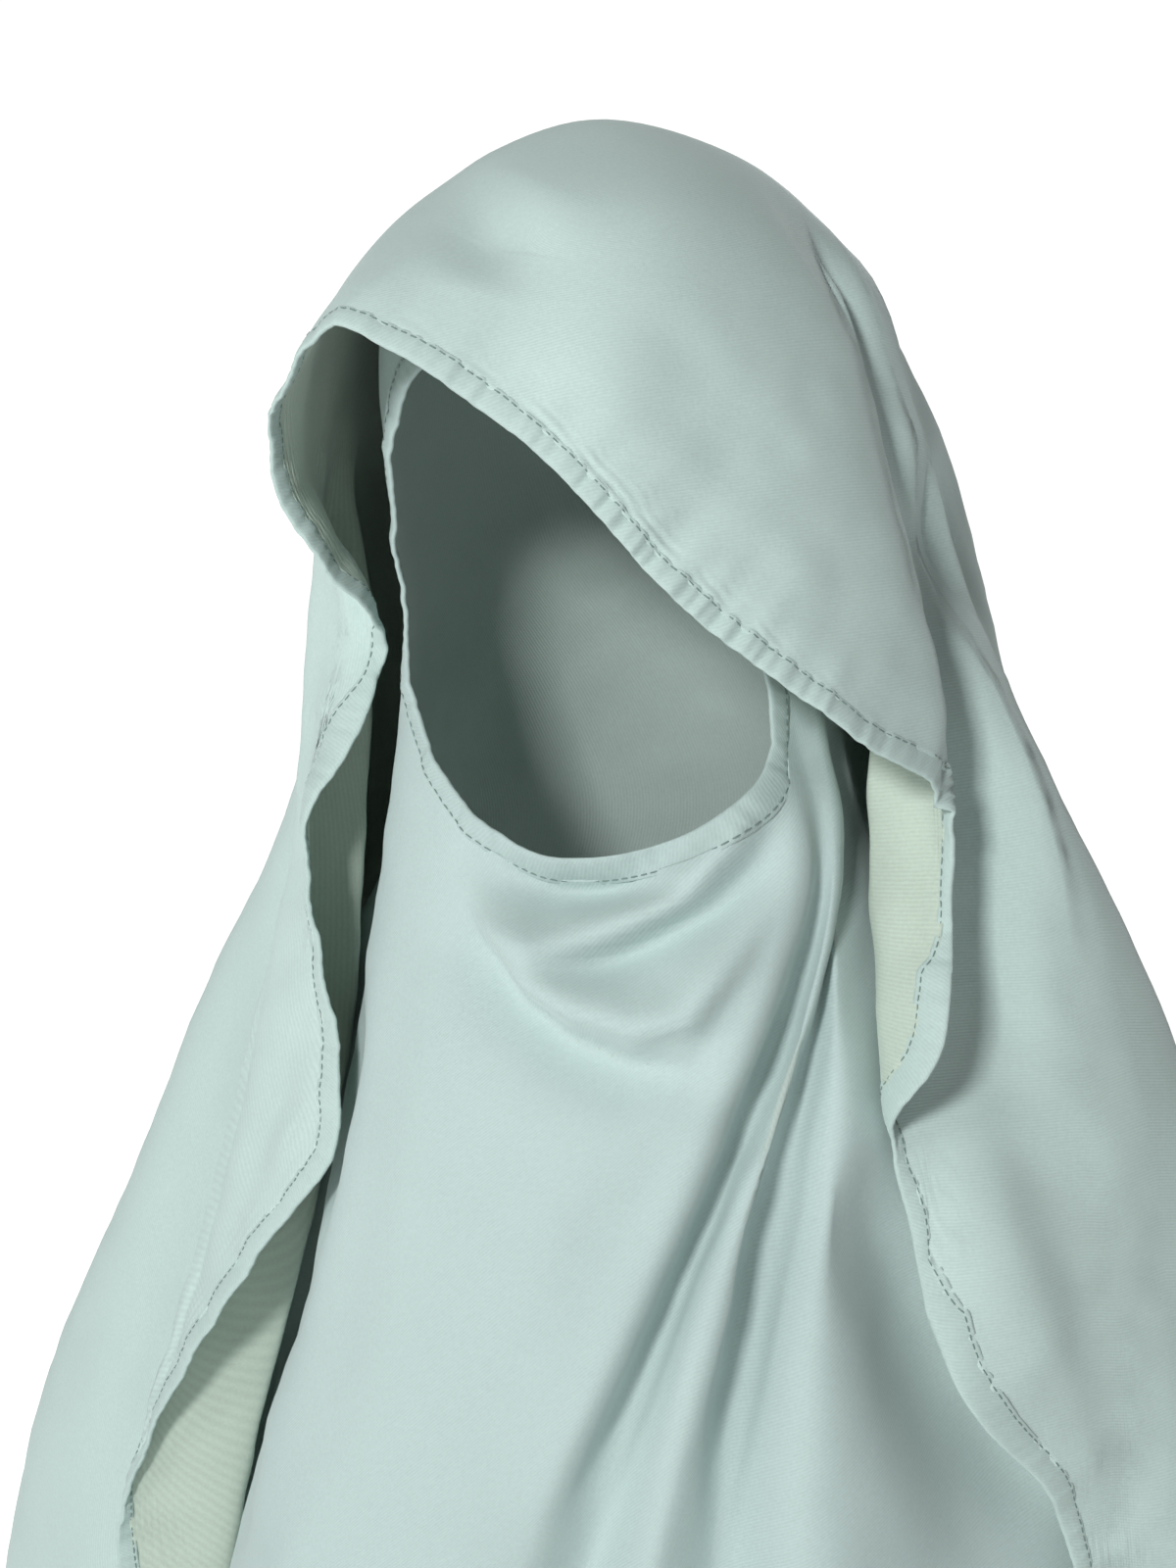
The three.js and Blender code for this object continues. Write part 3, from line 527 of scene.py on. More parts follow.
def drawn_folds(points, normals, folds):
    """Folds drawn as lines in the picture's pixels, on the cloth that faces the camera."""
    shown = ease((normals * VIEW_BACK).sum(-1), *SHOWN_FACING)
    place = in_picture(points)
    total = np.zeros(points.shape[:-1])
    for fold in folds:
        nearest, side, along = beside_line(place, np.array(fold["line"], float))
        width = np.where(side > 0, fold["right"], fold["left"])
        fade = ease(along, FADE_START, fold["fade_in"]) * ease(1 - along, FADE_START, fold["fade_out"])
        total += fold["rise"] * fade * np.exp(-((nearest / width) ** 2))
    return total * shown


# Folds seen in the picture. rise: millimetres, below 0 for a valley.
# left and right: half widths in pixels to each side of the line, as someone who walks along it sees them.
# fade_in and fade_out: shares of the line over which the fold begins and ends.
FOLD_COLUMNS = ["fold", "rise", "left", "right", "fade_in", "fade_out", "line"]
CAPE_FOLDS = table(FOLD_COLUMNS, [
    ["under the hem", -7, 26, 22, 0.3, 0.3,
        [(470, 850), (510, 892), (560, 912), (620, 905), (690, 872), (750, 825)]],
    ["first roll", 8, 28, 16, 0.3, 0.3,
        [(480, 900), (510, 945), (555, 968), (620, 955), (690, 915), (745, 862), (790, 790)]],
    ["fold to the gather", -8, 16, 22, 0.3, 0.4,
        [(545, 1002), (604, 982), (665, 960), (726, 930), (772, 881), (812, 808)]],
    ["cowl roll", 13, 36, 15, 0.3, 0.3,
        [(478, 900), (505, 955), (540, 1003), (590, 1032), (650, 1048), (705, 1035), (750, 975), (790, 900)]],
    ["under the cowl", -11, 14, 44, 0.3, 0.3,
        [(462, 900), (492, 962), (530, 1018), (575, 1060), (640, 1086), (700, 1092), (740, 1060)]],
    ["chin crease", -4.5, 14, 14, 0.3, 0.3, [(533, 904), (590, 914), (660, 912), (726, 899)]],
    ["main ridge", 6, 40, 22, 0.3, 0.3,
        [(838, 800), (820, 899), (798, 960), (766, 1052), (726, 1145), (684, 1250), (640, 1345),
         (570, 1506), (540, 1600)]],
    ["first slot", -6, 20, 24, 0.35, 0.2,
        [(856, 790), (838, 899), (818, 965), (787, 1060), (750, 1155), (708, 1262), (665, 1360),
         (598, 1520), (566, 1600)]],
    ["middle ridge", 3, 24, 24, 0.3, 0.3,
        [(862, 850), (840, 950), (812, 1060), (780, 1180), (744, 1300), (702, 1440), (668, 1560)]],
    ["second slot", -6, 18, 22, 0.5, 0.2,
        [(880, 780), (852, 900), (824, 1000), (800, 1100), (782, 1218), (762, 1359), (742, 1488),
         (728, 1600)]],
    ["chest roll", 3, 70, 60, 0.3, 0.3,
        [(810, 860), (750, 990), (680, 1110), (600, 1240), (520, 1400), (480, 1560)]],
    ["chest dip", -4, 50, 46, 0.3, 0.3, [(690, 1130), (630, 1230), (560, 1340), (500, 1450), (455, 1590)]],
    ["panel turned away", -13, 34, 80, 0.25, 0.2,
        [(880, 1150), (900, 1230), (938, 1320), (985, 1405), (1036, 1480), (1080, 1560)]],
    ["left fold", 5, 26, 26, 0.2, 0.2,
        [(400, 900), (380, 1050), (356, 1200), (322, 1340), (285, 1460), (262, 1590)]],
    ["left slot", -9, 18, 18, 0.2, 0.2,
        [(375, 960), (352, 1110), (332, 1220), (300, 1330), (258, 1440), (232, 1590)]],
])
VEIL_FOLDS = table(FOLD_COLUMNS, [
    ["dent at the temple", -7, 50, 50, 0.5, 0.5, [(530, 175), (500, 240), (485, 300)]],
    ["dent over the brow", -3.5, 60, 60, 0.4, 0.4, [(640, 330), (700, 400), (770, 470), (800, 560)]],
    ["roll over the brow", 3, 60, 60, 0.4, 0.4, [(570, 300), (630, 400), (700, 500)]],
    ["strip behind the ridge", -3.5, 12, 14, 0.2, 0.2,
        [(770, 175), (815, 225), (858, 290), (888, 350), (903, 400), (918, 470), (940, 560), (950, 640)]],
    ["fold at the nape", -11, 16, 30, 0.5, 0.5,
        [(957, 440), (964, 495), (974, 550), (987, 605), (1000, 655)]],
    ["side drape's edge", 7, 14, 46, 0.4, 0.4,
        [(938, 590), (966, 640), (1000, 700), (1035, 780), (1070, 880), (1100, 990)]],
    ["side drape dip", -9, 34, 44, 0.4, 0.4,
        [(945, 700), (975, 800), (1000, 900), (1020, 1020), (1040, 1150)]],
    ["side drape roll", 4, 40, 50, 0.3, 0.3,
        [(985, 1100), (1010, 1230), (1050, 1350), (1100, 1480), (1140, 1590)]],
    ["left drape dip", -5, 40, 22, 0.3, 0.3,
        [(262, 930), (225, 1060), (190, 1190), (160, 1310), (120, 1450), (85, 1590)]],
    ["flap dip", -3, 20, 30, 0.3, 0.3,
        [(318, 1000), (290, 1100), (250, 1200), (215, 1300), (180, 1400)]],
])


class Edge:
    """A hem's free edge. places(share, width): the place a width in from it, at a share of the way round."""

    def __init__(self, drape, places, samples):
        self.drape = drape
        self.places = places
        self.shares = np.linspace(0, 1, samples + 1)
        points = drape.point(*places(self.shares, 0))
        self.arcs = np.concatenate([[0], np.cumsum(length_of(points[1:] - points[:-1]))])
        self.length = self.arcs[-1]
        self.tree = KDTree(len(points))
        for i, point in enumerate(points.tolist()):
            self.tree.insert(point, i)
        self.tree.balance()

    def place(self, arc, width):
        return self.places(np.interp(arc % self.length, self.arcs, self.shares), width)

    def nearest(self, points):
        """For each point, the edge's arc at its nearest place and the distance to it."""
        found = [self.tree.find(point)[1:] for point in points.tolist()]
        index, distance = np.array(found).T
        return self.arcs[index.astype(int)], distance


OPEN_EDGE_SAMPLES = 6000
FACE_EDGE_SAMPLES = 1200


def open_edge(drape):
    return Edge(drape, lambda share, width: drape.edge_place(share * drape.count, width), OPEN_EDGE_SAMPLES)


veil_edge = open_edge(veil_drape)
cape_edge = open_edge(cape_drape)

HOLE_HALF_ANGLE = OPENING_HALF_ANGLE + math.degrees((FACE_HEM_WIDTH + SEAM_GAP) / HOOD_HALF_WIDTH)


def face_place(share, width):
    """Place round the face opening, a width out from its free edge."""
    turn = np.asarray(share) * 2 * math.pi
    half_angle = OPENING_HALF_ANGLE + math.degrees(width / HOOD_HALF_WIDTH)
    u = np.arcsin(np.sin(turn) * half_angle / HOLE_HALF_ANGLE) / (math.pi / 2) * OPENING_LINES
    drop = OPENING_MIDDLE_DROP - (OPENING_HALF_HEIGHT + width) * np.cos(turn)
    return u, cape_drape.station_at(drop)


face_edge = Edge(cape_drape, face_place, FACE_EDGE_SAMPLES)


# Waves that the stitching draws into the cloth along an edge. strong: how much is added where it pulls most.
# reach: the distance from the stitches over which the waves die out.
HEM_WAVES = table(["size", "strong", "wavelength", "wander", "reach"], [
    [0.12, 0.4, 5.6, 1.3, 4],
    [0.2, 0.65, 12, 1.7, 14],
    [0.7, 0, 34, 1.1, 34],
])
WANDER_LENGTH = 4.3  # wavelengths
SLOW_WANDERS = 5  # along the whole edge
STRONGEST_LINE = 2  # the veil's fold line at which the stitching pulls most


def hem_waves(arc, inward, edge_length, strong):
    turn = 2 * math.pi * arc / edge_length
    past = np.maximum(inward - HEM_WIDTH, 0)
    total = 0
    for row in HEM_WAVES:
        rounds = round(edge_length / row["wavelength"])
        wander = np.sin(round(rounds / WANDER_LENGTH) * turn) + np.sin(SLOW_WANDERS * turn)
        size = (row["size"] + row["strong"] * strong) * np.exp(-((past / row["reach"]) ** 2))
        total = total + size * np.sin(rounds * turn + row["wander"] * wander)
    return total


def veil_relief(points, normals, u, arc, inward):
    strong = np.exp(-(((u % veil_drape.count) - STRONGEST_LINE) ** 2))
    hem = hem_waves(arc, inward, veil_edge.length, strong)
    return unevenness(points) + hem + drawn_folds(points, normals, VEIL_FOLDS)


def cape_relief(points, normals, u, arc, inward):
    hem = hem_waves(arc, inward, cape_edge.length, 0)
    return unevenness(points) + hem + drawn_folds(points, normals, CAPE_FOLDS)


LEAST_COLUMNS = 6  # between two fold lines
STEEP_PITCH = 9  # most drop of the open edge from one column to the next


def fine_columns(drape, front, front_pitch, back_pitch):
    """Columns for a fine sheet, closer together at the front and in narrow folds, starting at the back.

    front: how many fold lines before and after the first one are at the front.
    """
    n = drape.count
    shoulder = float(drape.station_at(SHOULDER_DROP))
    columns = []
    for i in range(n):
        end, next_end = drape.ends[i], drape.ends[(i + 1) % n]
        pitch = front_pitch if i < front[1] or i >= n - front[0] else back_pitch
        station = min(max(end, next_end), shoulder)
        gap = float(length_of(drape.point(i, station) - drape.point(i + 1, station)))
        steps = max(LEAST_COLUMNS, round(gap / pitch), round(abs(end - next_end) / STEEP_PITCH))
        columns.append(i + np.arange(steps) / steps)
    columns = np.concatenate(columns)
    return np.roll(columns, -int(np.argmax(columns >= n / 2)))


LEAN = 3  # the higher, the later the columns lean towards the places that they meet


class Cloth:
    """A fine sheet: blocks of rows of vertices, round the whole cloth, with its weave's coordinates."""

    def __init__(self, drape, columns):
        self.drape = drape
        self.columns = columns
        self.u = []
        self.station = []
        self.size = 0
        self.blocks = []

    def row(self, u, station):
        self.u.append(np.broadcast_to(u, self.columns.shape))
        self.station.append(np.broadcast_to(station, self.columns.shape))
        index = self.size + np.arange(len(self.columns))
        self.size += len(self.columns)
        return index

    def rows(self, first, starts, end_u, end_station, count, spread=1):
        """Rows to a row of places, with columns that lean towards the places that they meet.

        spread: 1 for even rows, more for rows that lie closer at the start.
        """
        block = [first]
        for k in range(1, count + 1):
            share = (k / count) ** spread
            u = self.columns + (end_u - self.columns) * share**LEAN
            block.append(self.row(u, starts + (end_station - starts) * share))
        self.blocks.append(np.array(block))
        return block[-1]

    def finish(self):
        self.u = np.concatenate(self.u)
        self.station = np.concatenate(self.station)
        self.points = self.drape.point(self.u, self.station)
        self.normals = self.drape.normal(self.u, self.station)


CROWN_START = 2.5  # distance down the cloth of the ring round the crown's middle
CROWN_END = 54


def crown_rows(cloth):
    first = cloth.row(cloth.columns, CROWN_START)
    return cloth.rows(first, CROWN_START, cloth.columns, np.full(cloth.columns.shape, CROWN_END), CROWN_ROWS)


HEM_LAP = 6.5  # how far from its edge a sheet ends inside its hem


def fine_veil(columns):
    cloth = Cloth(veil_drape, columns)
    last = crown_rows(cloth)
    end_u, end_station = veil_drape.edge_place(columns, HEM_LAP)
    cloth.rows(last, CROWN_END, end_u, end_station, VEIL_ROWS)
    cloth.finish()
    cloth.relief = veil_relief(cloth.points, cloth.normals, cloth.u, *veil_edge.nearest(cloth.points))
    return cloth


def fine_cape(columns):
    cloth = Cloth(cape_drape, columns)
    n = cape_drape.count
    around = np.where(columns > n / 2, columns - n, columns)
    in_hole = np.abs(around) < OPENING_LINES
    turn = np.clip(around / OPENING_LINES, -1, 1) * math.pi / 2
    half_height = (OPENING_HALF_HEIGHT + FACE_HEM_WIDTH - (HEM_WIDTH - HEM_LAP)) * np.cos(turn)
    above = cape_drape.station_at(OPENING_MIDDLE_DROP - half_height)
    below = cape_drape.station_at(OPENING_MIDDLE_DROP + half_height)
    last = crown_rows(cloth)
    rim = cloth.rows(last, CROWN_END, columns, above, HOOD_ROWS)
    lower_rim = np.where(in_hole, cloth.row(columns, below), rim)
    end_u, end_station = cape_drape.edge_place(columns, HEM_LAP)
    cloth.rows(lower_rim, below, end_u, end_station, CAPE_ROWS, CAPE_ROW_SPREAD)
    cloth.finish()
    cloth.relief = cape_relief(cloth.points, cloth.normals, cloth.u, *cape_edge.nearest(cloth.points))
    return cloth


FAN_START = 60  # from the point of the fan to the crown, when the cloth is laid flat


def weave_places(cloth):
    """Weave coordinates in metres for each block's corners: the cloth laid flat round its crown."""
    places = []
    for block in cloth.blocks:
        points = cloth.points[block]
        round_points = np.concatenate([points, points[:, :1]], axis=1)
        arcs = np.cumsum(length_of(np.diff(round_points, axis=1)), axis=1)
        arcs = np.concatenate([np.zeros((len(block), 1)), arcs], axis=1)
        stations = cloth.station[block]
        stations = np.concatenate([stations, stations[:, :1]], axis=1)
        radius = stations + FAN_START
        angle = (arcs - arcs[:, -1:] / 2) / radius
        places.append(np.stack([radius * np.sin(angle), radius * np.cos(angle)], axis=-1) * MM)
    return places


def vertex_normals(points, faces):
    normals = np.zeros_like(points)
    a, b, c, d = (points[faces[:, k]] for k in range(4))
    square = np.cross(c - a, d - b)
    for k in range(4):
        np.add.at(normals, faces[:, k], square)
    return unit(normals)


def new_object(name, vertices, faces, materials, face_materials=None, weave=None):
    """A smooth mesh object from vertices in millimetres. weave: coordinates for each face corner."""
    mesh = bpy.data.meshes.new(name)
    mesh.from_pydata((vertices * MM).tolist(), [], faces)
    for material in materials:
        mesh.materials.append(material)
    if face_materials is not None:
        mesh.polygons.foreach_set("material_index", np.asarray(face_materials, np.int32))
    mesh.polygons.foreach_set("use_smooth", np.ones(len(faces), bool))
    if weave is not None:
        layer = mesh.uv_layers.new(name="weave")
        layer.data.foreach_set("uv", np.asarray(weave, np.float32).ravel())
    mesh.update()
    made = bpy.data.objects.new(name, mesh)
    bpy.context.collection.objects.link(made)
    return made


def grid_corners(grid, axis):
    """The four corners of each square of a grid, turned so that its faces look outward."""
    return np.stack([grid[:-1, :-1], grid[1:, :-1], grid[1:, 1:], grid[:-1, 1:]], axis=axis)


def open_walls(quads, top, n):
    """Walls between a sheet and its underside at its open edges, but not at the crown's ring."""
    edges = np.concatenate([quads[:, [k, (k + 1) % 4]] for k in range(4)])
    crown = np.stack([np.roll(top, -1), top], axis=1)
    known = np.concatenate([edges[:, ::-1], crown, crown[:, ::-1]])
    edges = edges[~np.isin(edges @ [n, 1], known @ [n, 1])]
    return np.stack([edges[:, 1], edges[:, 0], edges[:, 0] + n, edges[:, 1] + n], axis=1)


CROWN_LIFT = 0.05  # of the crown's middle above the ring round it


def cloth_object(name, cloth, materials):
    """A closed sheet: its relief moved half a thickness out and in, with walls at its open edges."""
    points = cloth.points + cloth.normals * cloth.relief[:, None]
    quads, weave = [], []
    for block, places in zip(cloth.blocks, weave_places(cloth)):
        following = np.concatenate([block, block[:, :1]], axis=1)
        quads.append(grid_corners(following, -1).reshape(-1, 4))
        weave.append(grid_corners(places, 2).reshape(-1, 4, 2))
    quads = np.concatenate(quads)
    weave = np.concatenate(weave)
    normals = vertex_normals(points, quads)
    half = CLOTH / 2
    top = cloth.blocks[0][0]
    crown = points[top].mean(axis=0) + [0, 0, CROWN_LIFT]
    n = len(points)
    middles = [[crown + [0, 0, half]], [crown - [0, 0, half]]]
    vertices = np.concatenate([points + normals * half, points - normals * half] + middles)
    ring = list(zip(top.tolist(), np.roll(top, -1).tolist()))
    cap = [[2 * n, a, b] for a, b in ring]
    under_cap = [[2 * n + 1, b + n, a + n] for a, b in ring]
    inner = (quads + n)[:, ::-1]
    walls = open_walls(quads, top, n)
    faces = quads.tolist() + inner.tolist() + walls.tolist() + cap + under_cap
    plain = np.zeros((4 * len(walls) + 6 * len(ring), 2))
    corners = np.concatenate([weave.reshape(-1, 2), weave[:, ::-1].reshape(-1, 2), plain])
    sides = np.repeat([0, 1, 0, 1], [len(quads), len(inner), len(walls) + len(cap), len(under_cap)])
    return new_object(name, vertices, faces, materials, sides, corners)


# Cross-section of a turned hem: inward from the edge as a share of its width, and how far it stands out
HEM_SECTION = [
    (1.04, 0.46), (0.98, 0.62), (0.9, 0.6), (0.8, 0.86),
    (0.56, 0.98), (0.28, 0.98), (0.1, 0.84), (0.02, 0.46),
]
SECTION_STEP = 1.2  # from one place of the section to the next, in the weave's coordinates
STITCH_PITCH = 3.3
STITCH_LENGTH = 2.5
STITCH_RADIUS = 0.26
STITCH_INWARD = 0.9  # share of the hem's width
STITCH_HEIGHT = 0.66  # above the middle of the cloth
STITCH_CORNERS = 5
STITCH_SAMPLES = 3  # of the hem, for each stitch
STITCH_PULL = -0.22  # at a stitch, towards the middle of the cloth
STITCH_PUFF = 0.08  # between two stitches, away from it
PULL_REACH = 0.12  # share of the hem's width


def on_hem(edge, width, relief, arcs, share):
    """Places along a hem, a share of its width in from its edge, with their normals and relief."""
    u, station = edge.place(arcs, share * width)
    points = edge.drape.point(u, station)
    normals = edge.drape.normal(u, station)
    return points, normals, relief(points, normals, u, arcs, np.full(len(arcs), share * width))


def hem_object(name, edge, width, relief, material):
    """A turned hem as a closed band round an edge, puffed between its stitches."""
    n = STITCH_SAMPLES * round(edge.length / STITCH_PITCH)
    arcs = np.arange(n) * edge.length / n
    puff = np.where(np.arange(n) % STITCH_SAMPLES == 0, STITCH_PULL, STITCH_PUFF)
    rings = []
    for side in (1, -1):
        for share, height in HEM_SECTION[::side]:
            points, normals, out = on_hem(edge, width, relief, arcs, share)
            near_stitches = math.exp(-(((share - STITCH_INWARD) / PULL_REACH) ** 2))
            rings.append(points + normals * (out + side * (height + puff * near_stitches))[:, None])
    index = np.arange(len(rings) * n).reshape(len(rings), n)
    quads = grid_corners(np.pad(index, [(0, 1), (0, 1)], mode="wrap"), -1).reshape(-1, 4)
    along = np.arange(n + 1) * edge.length / n * MM
    across = np.arange(len(rings) + 1) * SECTION_STEP * MM
    weave = grid_corners(np.stack(np.meshgrid(along, across), axis=-1), 2).reshape(-1, 2)
    return new_object(name, np.concatenate(rings), quads.tolist(), [material], None, weave)


# Stitch as a rod: share of its length, share of its radius, and how far it stands out
ROD = [(-0.5, 0.35, -0.12), (-0.36, 1, 0.06), (0.36, 1, 0.06), (0.5, 0.35, -0.12)]


def stitch_object(name, edge, width, relief, material):
    """Short stitches along both sides of a hem, as small rounded rods half sunk in the cloth."""
    count = round(edge.length / STITCH_PITCH)
    centres = np.arange(count) * edge.length / count
    vertices = []
    for side in (1, -1):
        stations = []
        for along, _, lift in ROD:
            arcs = centres + along * STITCH_LENGTH
            points, normals, out = on_hem(edge, width, relief, arcs, STITCH_INWARD)
            stations.append((points + normals * (out + side * (STITCH_HEIGHT + lift))[:, None], normals))
        direction = unit(stations[-1][0] - stations[0][0])
        for (points, normals), (_, size, _) in zip(stations, ROD):
            across = unit(np.cross(direction, normals))
            up = np.cross(across, direction)
            for k in range(STITCH_CORNERS):
                angle = 2 * math.pi * k / STITCH_CORNERS
                ring = across * math.cos(angle) + up * math.sin(angle)
                vertices.append(points + ring * STITCH_RADIUS * size)
    faces = []
    # index: [side][place along the rod][corner][stitch]
    for rod in np.arange(len(vertices) * count).reshape(2, len(ROD), STITCH_CORNERS, count):
        for here, ahead in zip(rod[:-1], rod[1:]):
            quad = [here, ahead, np.roll(ahead, -1, axis=0), np.roll(here, -1, axis=0)]
            faces += np.stack(quad, axis=-1).reshape(-1, 4).tolist()
        faces += rod[0].T.tolist()
        faces += rod[-1].T[:, ::-1].tolist()
    return new_object(name, np.concatenate(vertices), faces, [material])


# Materials


def set_input(tree, node, name, value):
    """Sets an input to a value, or links it to another node's output."""
    if isinstance(value, bpy.types.NodeSocket):
        tree.links.new(value, node.inputs[name])
    else:
        node.inputs[name].default_value = value


def add_node(tree, kind, inputs, **settings):
    node = tree.nodes.new("ShaderNode" + kind)
    for name, value in settings.items():
        setattr(node, name, value)
    for name, value in inputs.items():
        set_input(tree, node, name, value)
    return node


def new_material(name, inputs):
    """A material with these inputs of its shader, and its tree."""
    material = bpy.data.materials.new(name)
    material.use_nodes = True
    tree = material.node_tree
    for key, value in inputs.items():
        set_input(tree, tree.nodes["Principled BSDF"], key, value)
    return material, tree


def scaled(tree, value, gain, offset):
    return add_node(tree, "Math", {0: value, 1: gain, 2: offset}, operation="MULTIPLY_ADD").outputs[0]


def noise(tree, scale, detail):
    """A noise in the object's own coordinates."""
    place = add_node(tree, "TexCoord", {}).outputs["Object"]
    return add_node(tree, "TexNoise", {"Scale": scale, "Detail": detail, "Vector": place}).outputs["Fac"]


def tint(tree, colour, strength):
    tinted = add_node(tree, "VectorMath", {0: colour, "Scale": strength}, operation="SCALE").outputs[0]
    set_input(tree, tree.nodes["Principled BSDF"], "Base Color", tinted)


# Crepe: scales are for metres, and shades are shares of the colour
CREPE = {
    "Roughness": 0.86,
    "Sheen Weight": 0.35,
    "Sheen Roughness": 0.45,
    "Sheen Tint": (0.9, 1, 0.98, 1),
    "Specular IOR Level": 0.25,
}
BANDS_PER_SCALE = 0.444  # the twill's scale times the ribs' pitch
GRAIN_SCALE = 900
PATCH_SCALE = 14
LEAST_SHADE = 0.91
PATCH_SHADE = 0.1
RIB_SHADE = 0.08
GRAIN_SHADE = 0.2
GRAIN_HEIGHT = 0.6  # share of the ribs' depth
BUMP_STRENGTH = 0.6
UNDER_PITCH = 1.3  # from rib to rib
UNDER_DEPTH = 0.09
OUTER_PITCH = 0.95
OUTER_DEPTH = 0.06


def crepe(name, colour, rib_pitch=OUTER_PITCH, rib_depth=OUTER_DEPTH):
    """Matte crepe: diagonal twill ribs, a fine grain and soft patches of lighter and darker cloth."""
    material, tree = new_material(name, CREPE)
    weave = add_node(tree, "UVMap", {}, uv_map="weave").outputs["UV"]
    ribs = {
        "Vector": weave,
        "Scale": BANDS_PER_SCALE / (rib_pitch * MM),
        "Distortion": 1.2,
        "Detail": 1,
        "Detail Scale": 1.5,
    }
    twill = add_node(tree, "TexWave", ribs, wave_type="BANDS", bands_direction="DIAGONAL").outputs["Fac"]
    grain = noise(tree, GRAIN_SCALE, detail=3)
    patches = scaled(tree, noise(tree, PATCH_SCALE, detail=4), PATCH_SHADE, LEAST_SHADE)
    rib_shade = scaled(tree, twill, RIB_SHADE, -RIB_SHADE / 2)
    fine = scaled(tree, grain, GRAIN_SHADE, rib_shade)
    tint(tree, colour, add_node(tree, "Math", {0: patches, 1: fine}, operation="ADD").outputs[0])
    bump = {
        "Height": scaled(tree, grain, GRAIN_HEIGHT, twill),
        "Strength": BUMP_STRENGTH,
        "Distance": rib_depth * MM,
    }
    set_input(tree, tree.nodes["Principled BSDF"], "Normal", add_node(tree, "Bump", bump).outputs[0])
    return material


def thread_material(name, colour):
    """Spun yarn with a fine grain, in a colour far darker than the cloth's: painted shade where the stitches
    sink into the cloth.
    """
    material, tree = new_material(name, {"Roughness": 0.6, "Sheen Weight": 0.2})
    grain = noise(tree, scale=2500, detail=2)
    tint(tree, colour, scaled(tree, grain, gain=0.5, offset=0.75))
    return material


outer_crepe = crepe("outer_crepe", (0.485, 0.605, 0.575))
# The veil's underside is yellower than its face, as the cloth's back is. It is also darkened as painted shade
# of the hollow folds where it shows.
outer_underside_shaded_crepe = crepe("outer_underside_crepe_with_painted_shade", (0.47, 0.56, 0.48), UNDER_PITCH, UNDER_DEPTH)
inner_crepe = crepe("inner_crepe", (0.44, 0.548, 0.53))
inner_under_crepe = crepe("inner_underside_crepe", (0.42, 0.505, 0.475), UNDER_PITCH, UNDER_DEPTH)
# The hems' colours are the cloth's own made darker: painted shade of the turned hems.
outer_hem_crepe = crepe("outer_hem_crepe", (0.45, 0.565, 0.535))
inner_hem_crepe = crepe("inner_hem_crepe", (0.41, 0.515, 0.495))
# Colour of the stitches, far darker than the cloth's: painted shade where they sink into it.
thread_with_painted_shade = thread_material("thread_with_painted_shade", (0.17, 0.25, 0.23))

# Pieces
CROWN_ROWS = 10
VEIL_ROWS = 122
HOOD_ROWS = 30
CAPE_ROWS = 110
CAPE_ROW_SPREAD = 1.5

veil_columns = fine_columns(veil_drape, front=(9, 9), front_pitch=3, back_pitch=6.5)
cape_columns = fine_columns(cape_drape, front=(6, 8), front_pitch=2.6, back_pitch=6.5)
veil_cloth = fine_veil(veil_columns)
cape_cloth = fine_cape(cape_columns)

veil = cloth_object("veil_cloth", veil_cloth, [outer_crepe, outer_underside_shaded_crepe])
cape = cloth_object("hood_and_cape_cloth", cape_cloth, [inner_crepe, inner_under_crepe])
veil_hem = hem_object("veil_edge_hem", veil_edge, HEM_WIDTH, veil_relief, outer_hem_crepe)
face_band = hem_object("face_opening_hem", face_edge, FACE_HEM_WIDTH, cape_relief, inner_hem_crepe)
cape_hem = hem_object("cape_edge_hem", cape_edge, HEM_WIDTH, cape_relief, inner_hem_crepe)
veil_stitches = stitch_object("veil_edge_stitches", veil_edge, HEM_WIDTH, veil_relief, thread_with_painted_shade)
face_stitches = stitch_object("face_opening_stitches", face_edge, FACE_HEM_WIDTH, cape_relief, thread_with_painted_shade)
cape_stitches = stitch_object("cape_edge_stitches", cape_edge, HEM_WIDTH, cape_relief, thread_with_painted_shade)

for piece in (veil, cape, veil_hem, face_band, cape_hem, veil_stitches, face_stitches, cape_stitches):
    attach(piece, "root")

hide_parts("outer_veil")
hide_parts("inner_hood_cape")
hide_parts("outer_edge_hem")
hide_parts("face_hem")
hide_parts("cape_lower_hem")

# Floor, light and background, in metres
FLOOR_HALF_SIZE = 6
FLOOR_GAP = 0.02  # below the cloth
FLOOR_GLOW = (0.3, 1)  # in front of the veil and behind it, as the camera sees it
FLOOR_GLOW_FROM = (0.1, 0.6)  # from the crown along the camera's view
FLOOR_SHADE = (0.85, 0.85, 0.85, 1)
WHITE = (1, 1, 1, 1)


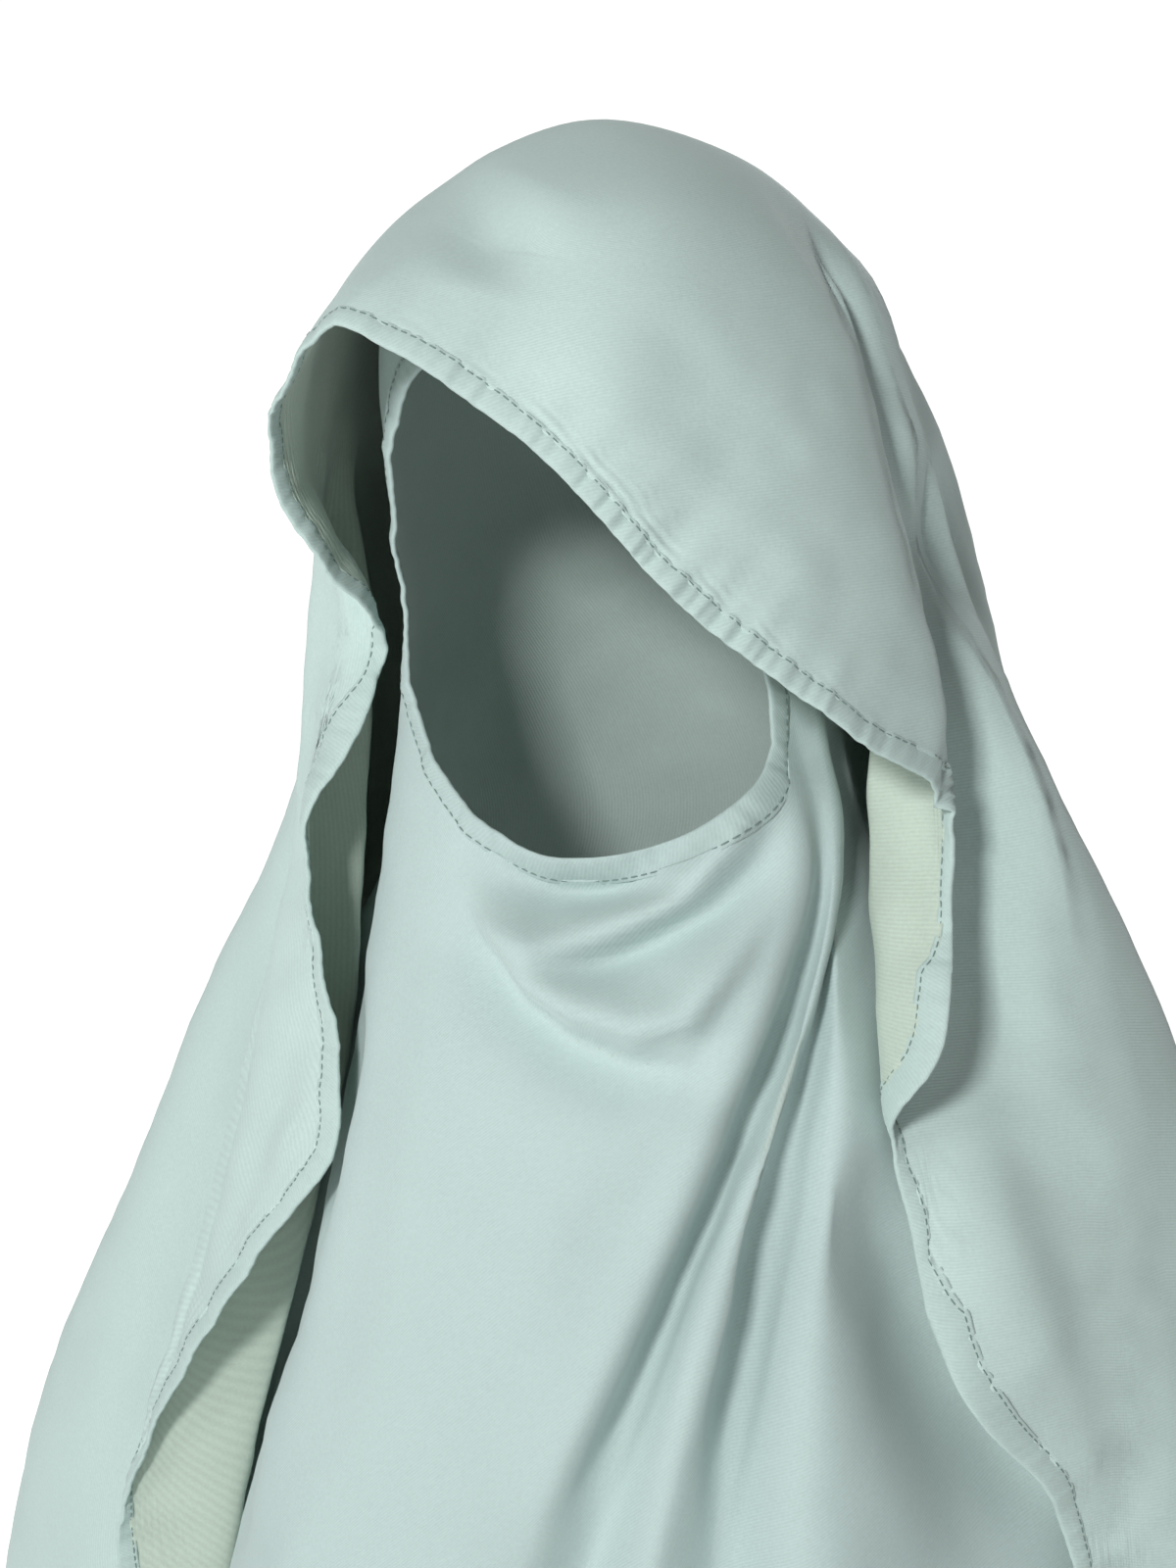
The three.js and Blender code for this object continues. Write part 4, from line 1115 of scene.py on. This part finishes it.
def behind(tree, place, distances, strengths):
    """A strength that changes smoothly with how far a place or direction is behind the veil."""
    inputs = {0: place, 1: -VIEW_BACK}
    distance = add_node(tree, "VectorMath", inputs, operation="DOT_PRODUCT").outputs["Value"]
    inputs = {"Value": distance, "From Min": distances[0], "From Max": distances[1]}
    inputs.update({"To Min": strengths[0], "To Max": strengths[1]})
    return add_node(tree, "MapRange", inputs, interpolation_type="SMOOTHSTEP").outputs[0]


def make_floor():
    size = FLOOR_HALF_SIZE
    corners = [(-size, -size), (size, -size), (size, size), (-size, size)]
    level = cad_box[0][2] - FLOOR_GAP
    inputs = {"Base Color": FLOOR_SHADE, "Roughness": 0.95, "Emission Color": WHITE}
    material, tree = new_material("floor", inputs)
    place = add_node(tree, "TexCoord", {}).outputs["Object"]
    glow = behind(tree, place, FLOOR_GLOW_FROM, FLOOR_GLOW)
    set_input(tree, tree.nodes["Principled BSDF"], "Emission Strength", glow)
    vertices = np.array([(x, y, level) for x, y in corners]) / MM
    floor = new_object("floor", vertices, [[0, 1, 2, 3]], [material])


LIGHT_TARGET = np.array([0, 0, -0.3])


def make_area_light(name, place, size, watts):
    light = bpy.data.lights.new(name, "AREA")
    light.size = size
    light.energy = watts
    placed = bpy.data.objects.new(name, light)
    bpy.context.collection.objects.link(placed)
    back = unit(np.array(place, float) - LIGHT_TARGET)
    right = unit(np.cross([0, 0, 1], back))
    up = np.cross(back, right)
    placed.matrix_world = Matrix.Translation(place) @ Matrix((right, up, back)).transposed().to_4x4()


AMBIENT = (0.09, 1.1)  # all round in front, and behind the veil as the camera sees it
AMBIENT_FROM = (0.6, 0.87)  # cosine of the angle from straight behind


def make_world():
    """White behind the veil as the camera sees it, and dimmer all round in front."""
    world = bpy.data.worlds.new("world")
    bpy.context.scene.world = world
    world.use_nodes = True
    tree = world.node_tree
    direction = add_node(tree, "TexCoord", {}).outputs["Generated"]
    set_input(tree, tree.nodes["Background"], "Strength", behind(tree, direction, AMBIENT_FROM, AMBIENT))
    set_input(tree, tree.nodes["Background"], "Color", WHITE)


make_floor()
make_world()
make_area_light("key", place=(-0.15, -2.2, 0.9), size=0.35, watts=43)
make_area_light("left", place=(-1.4, -1.7, 0.5), size=0.5, watts=9)
bpy.context.scene.view_settings.view_transform = "Standard"
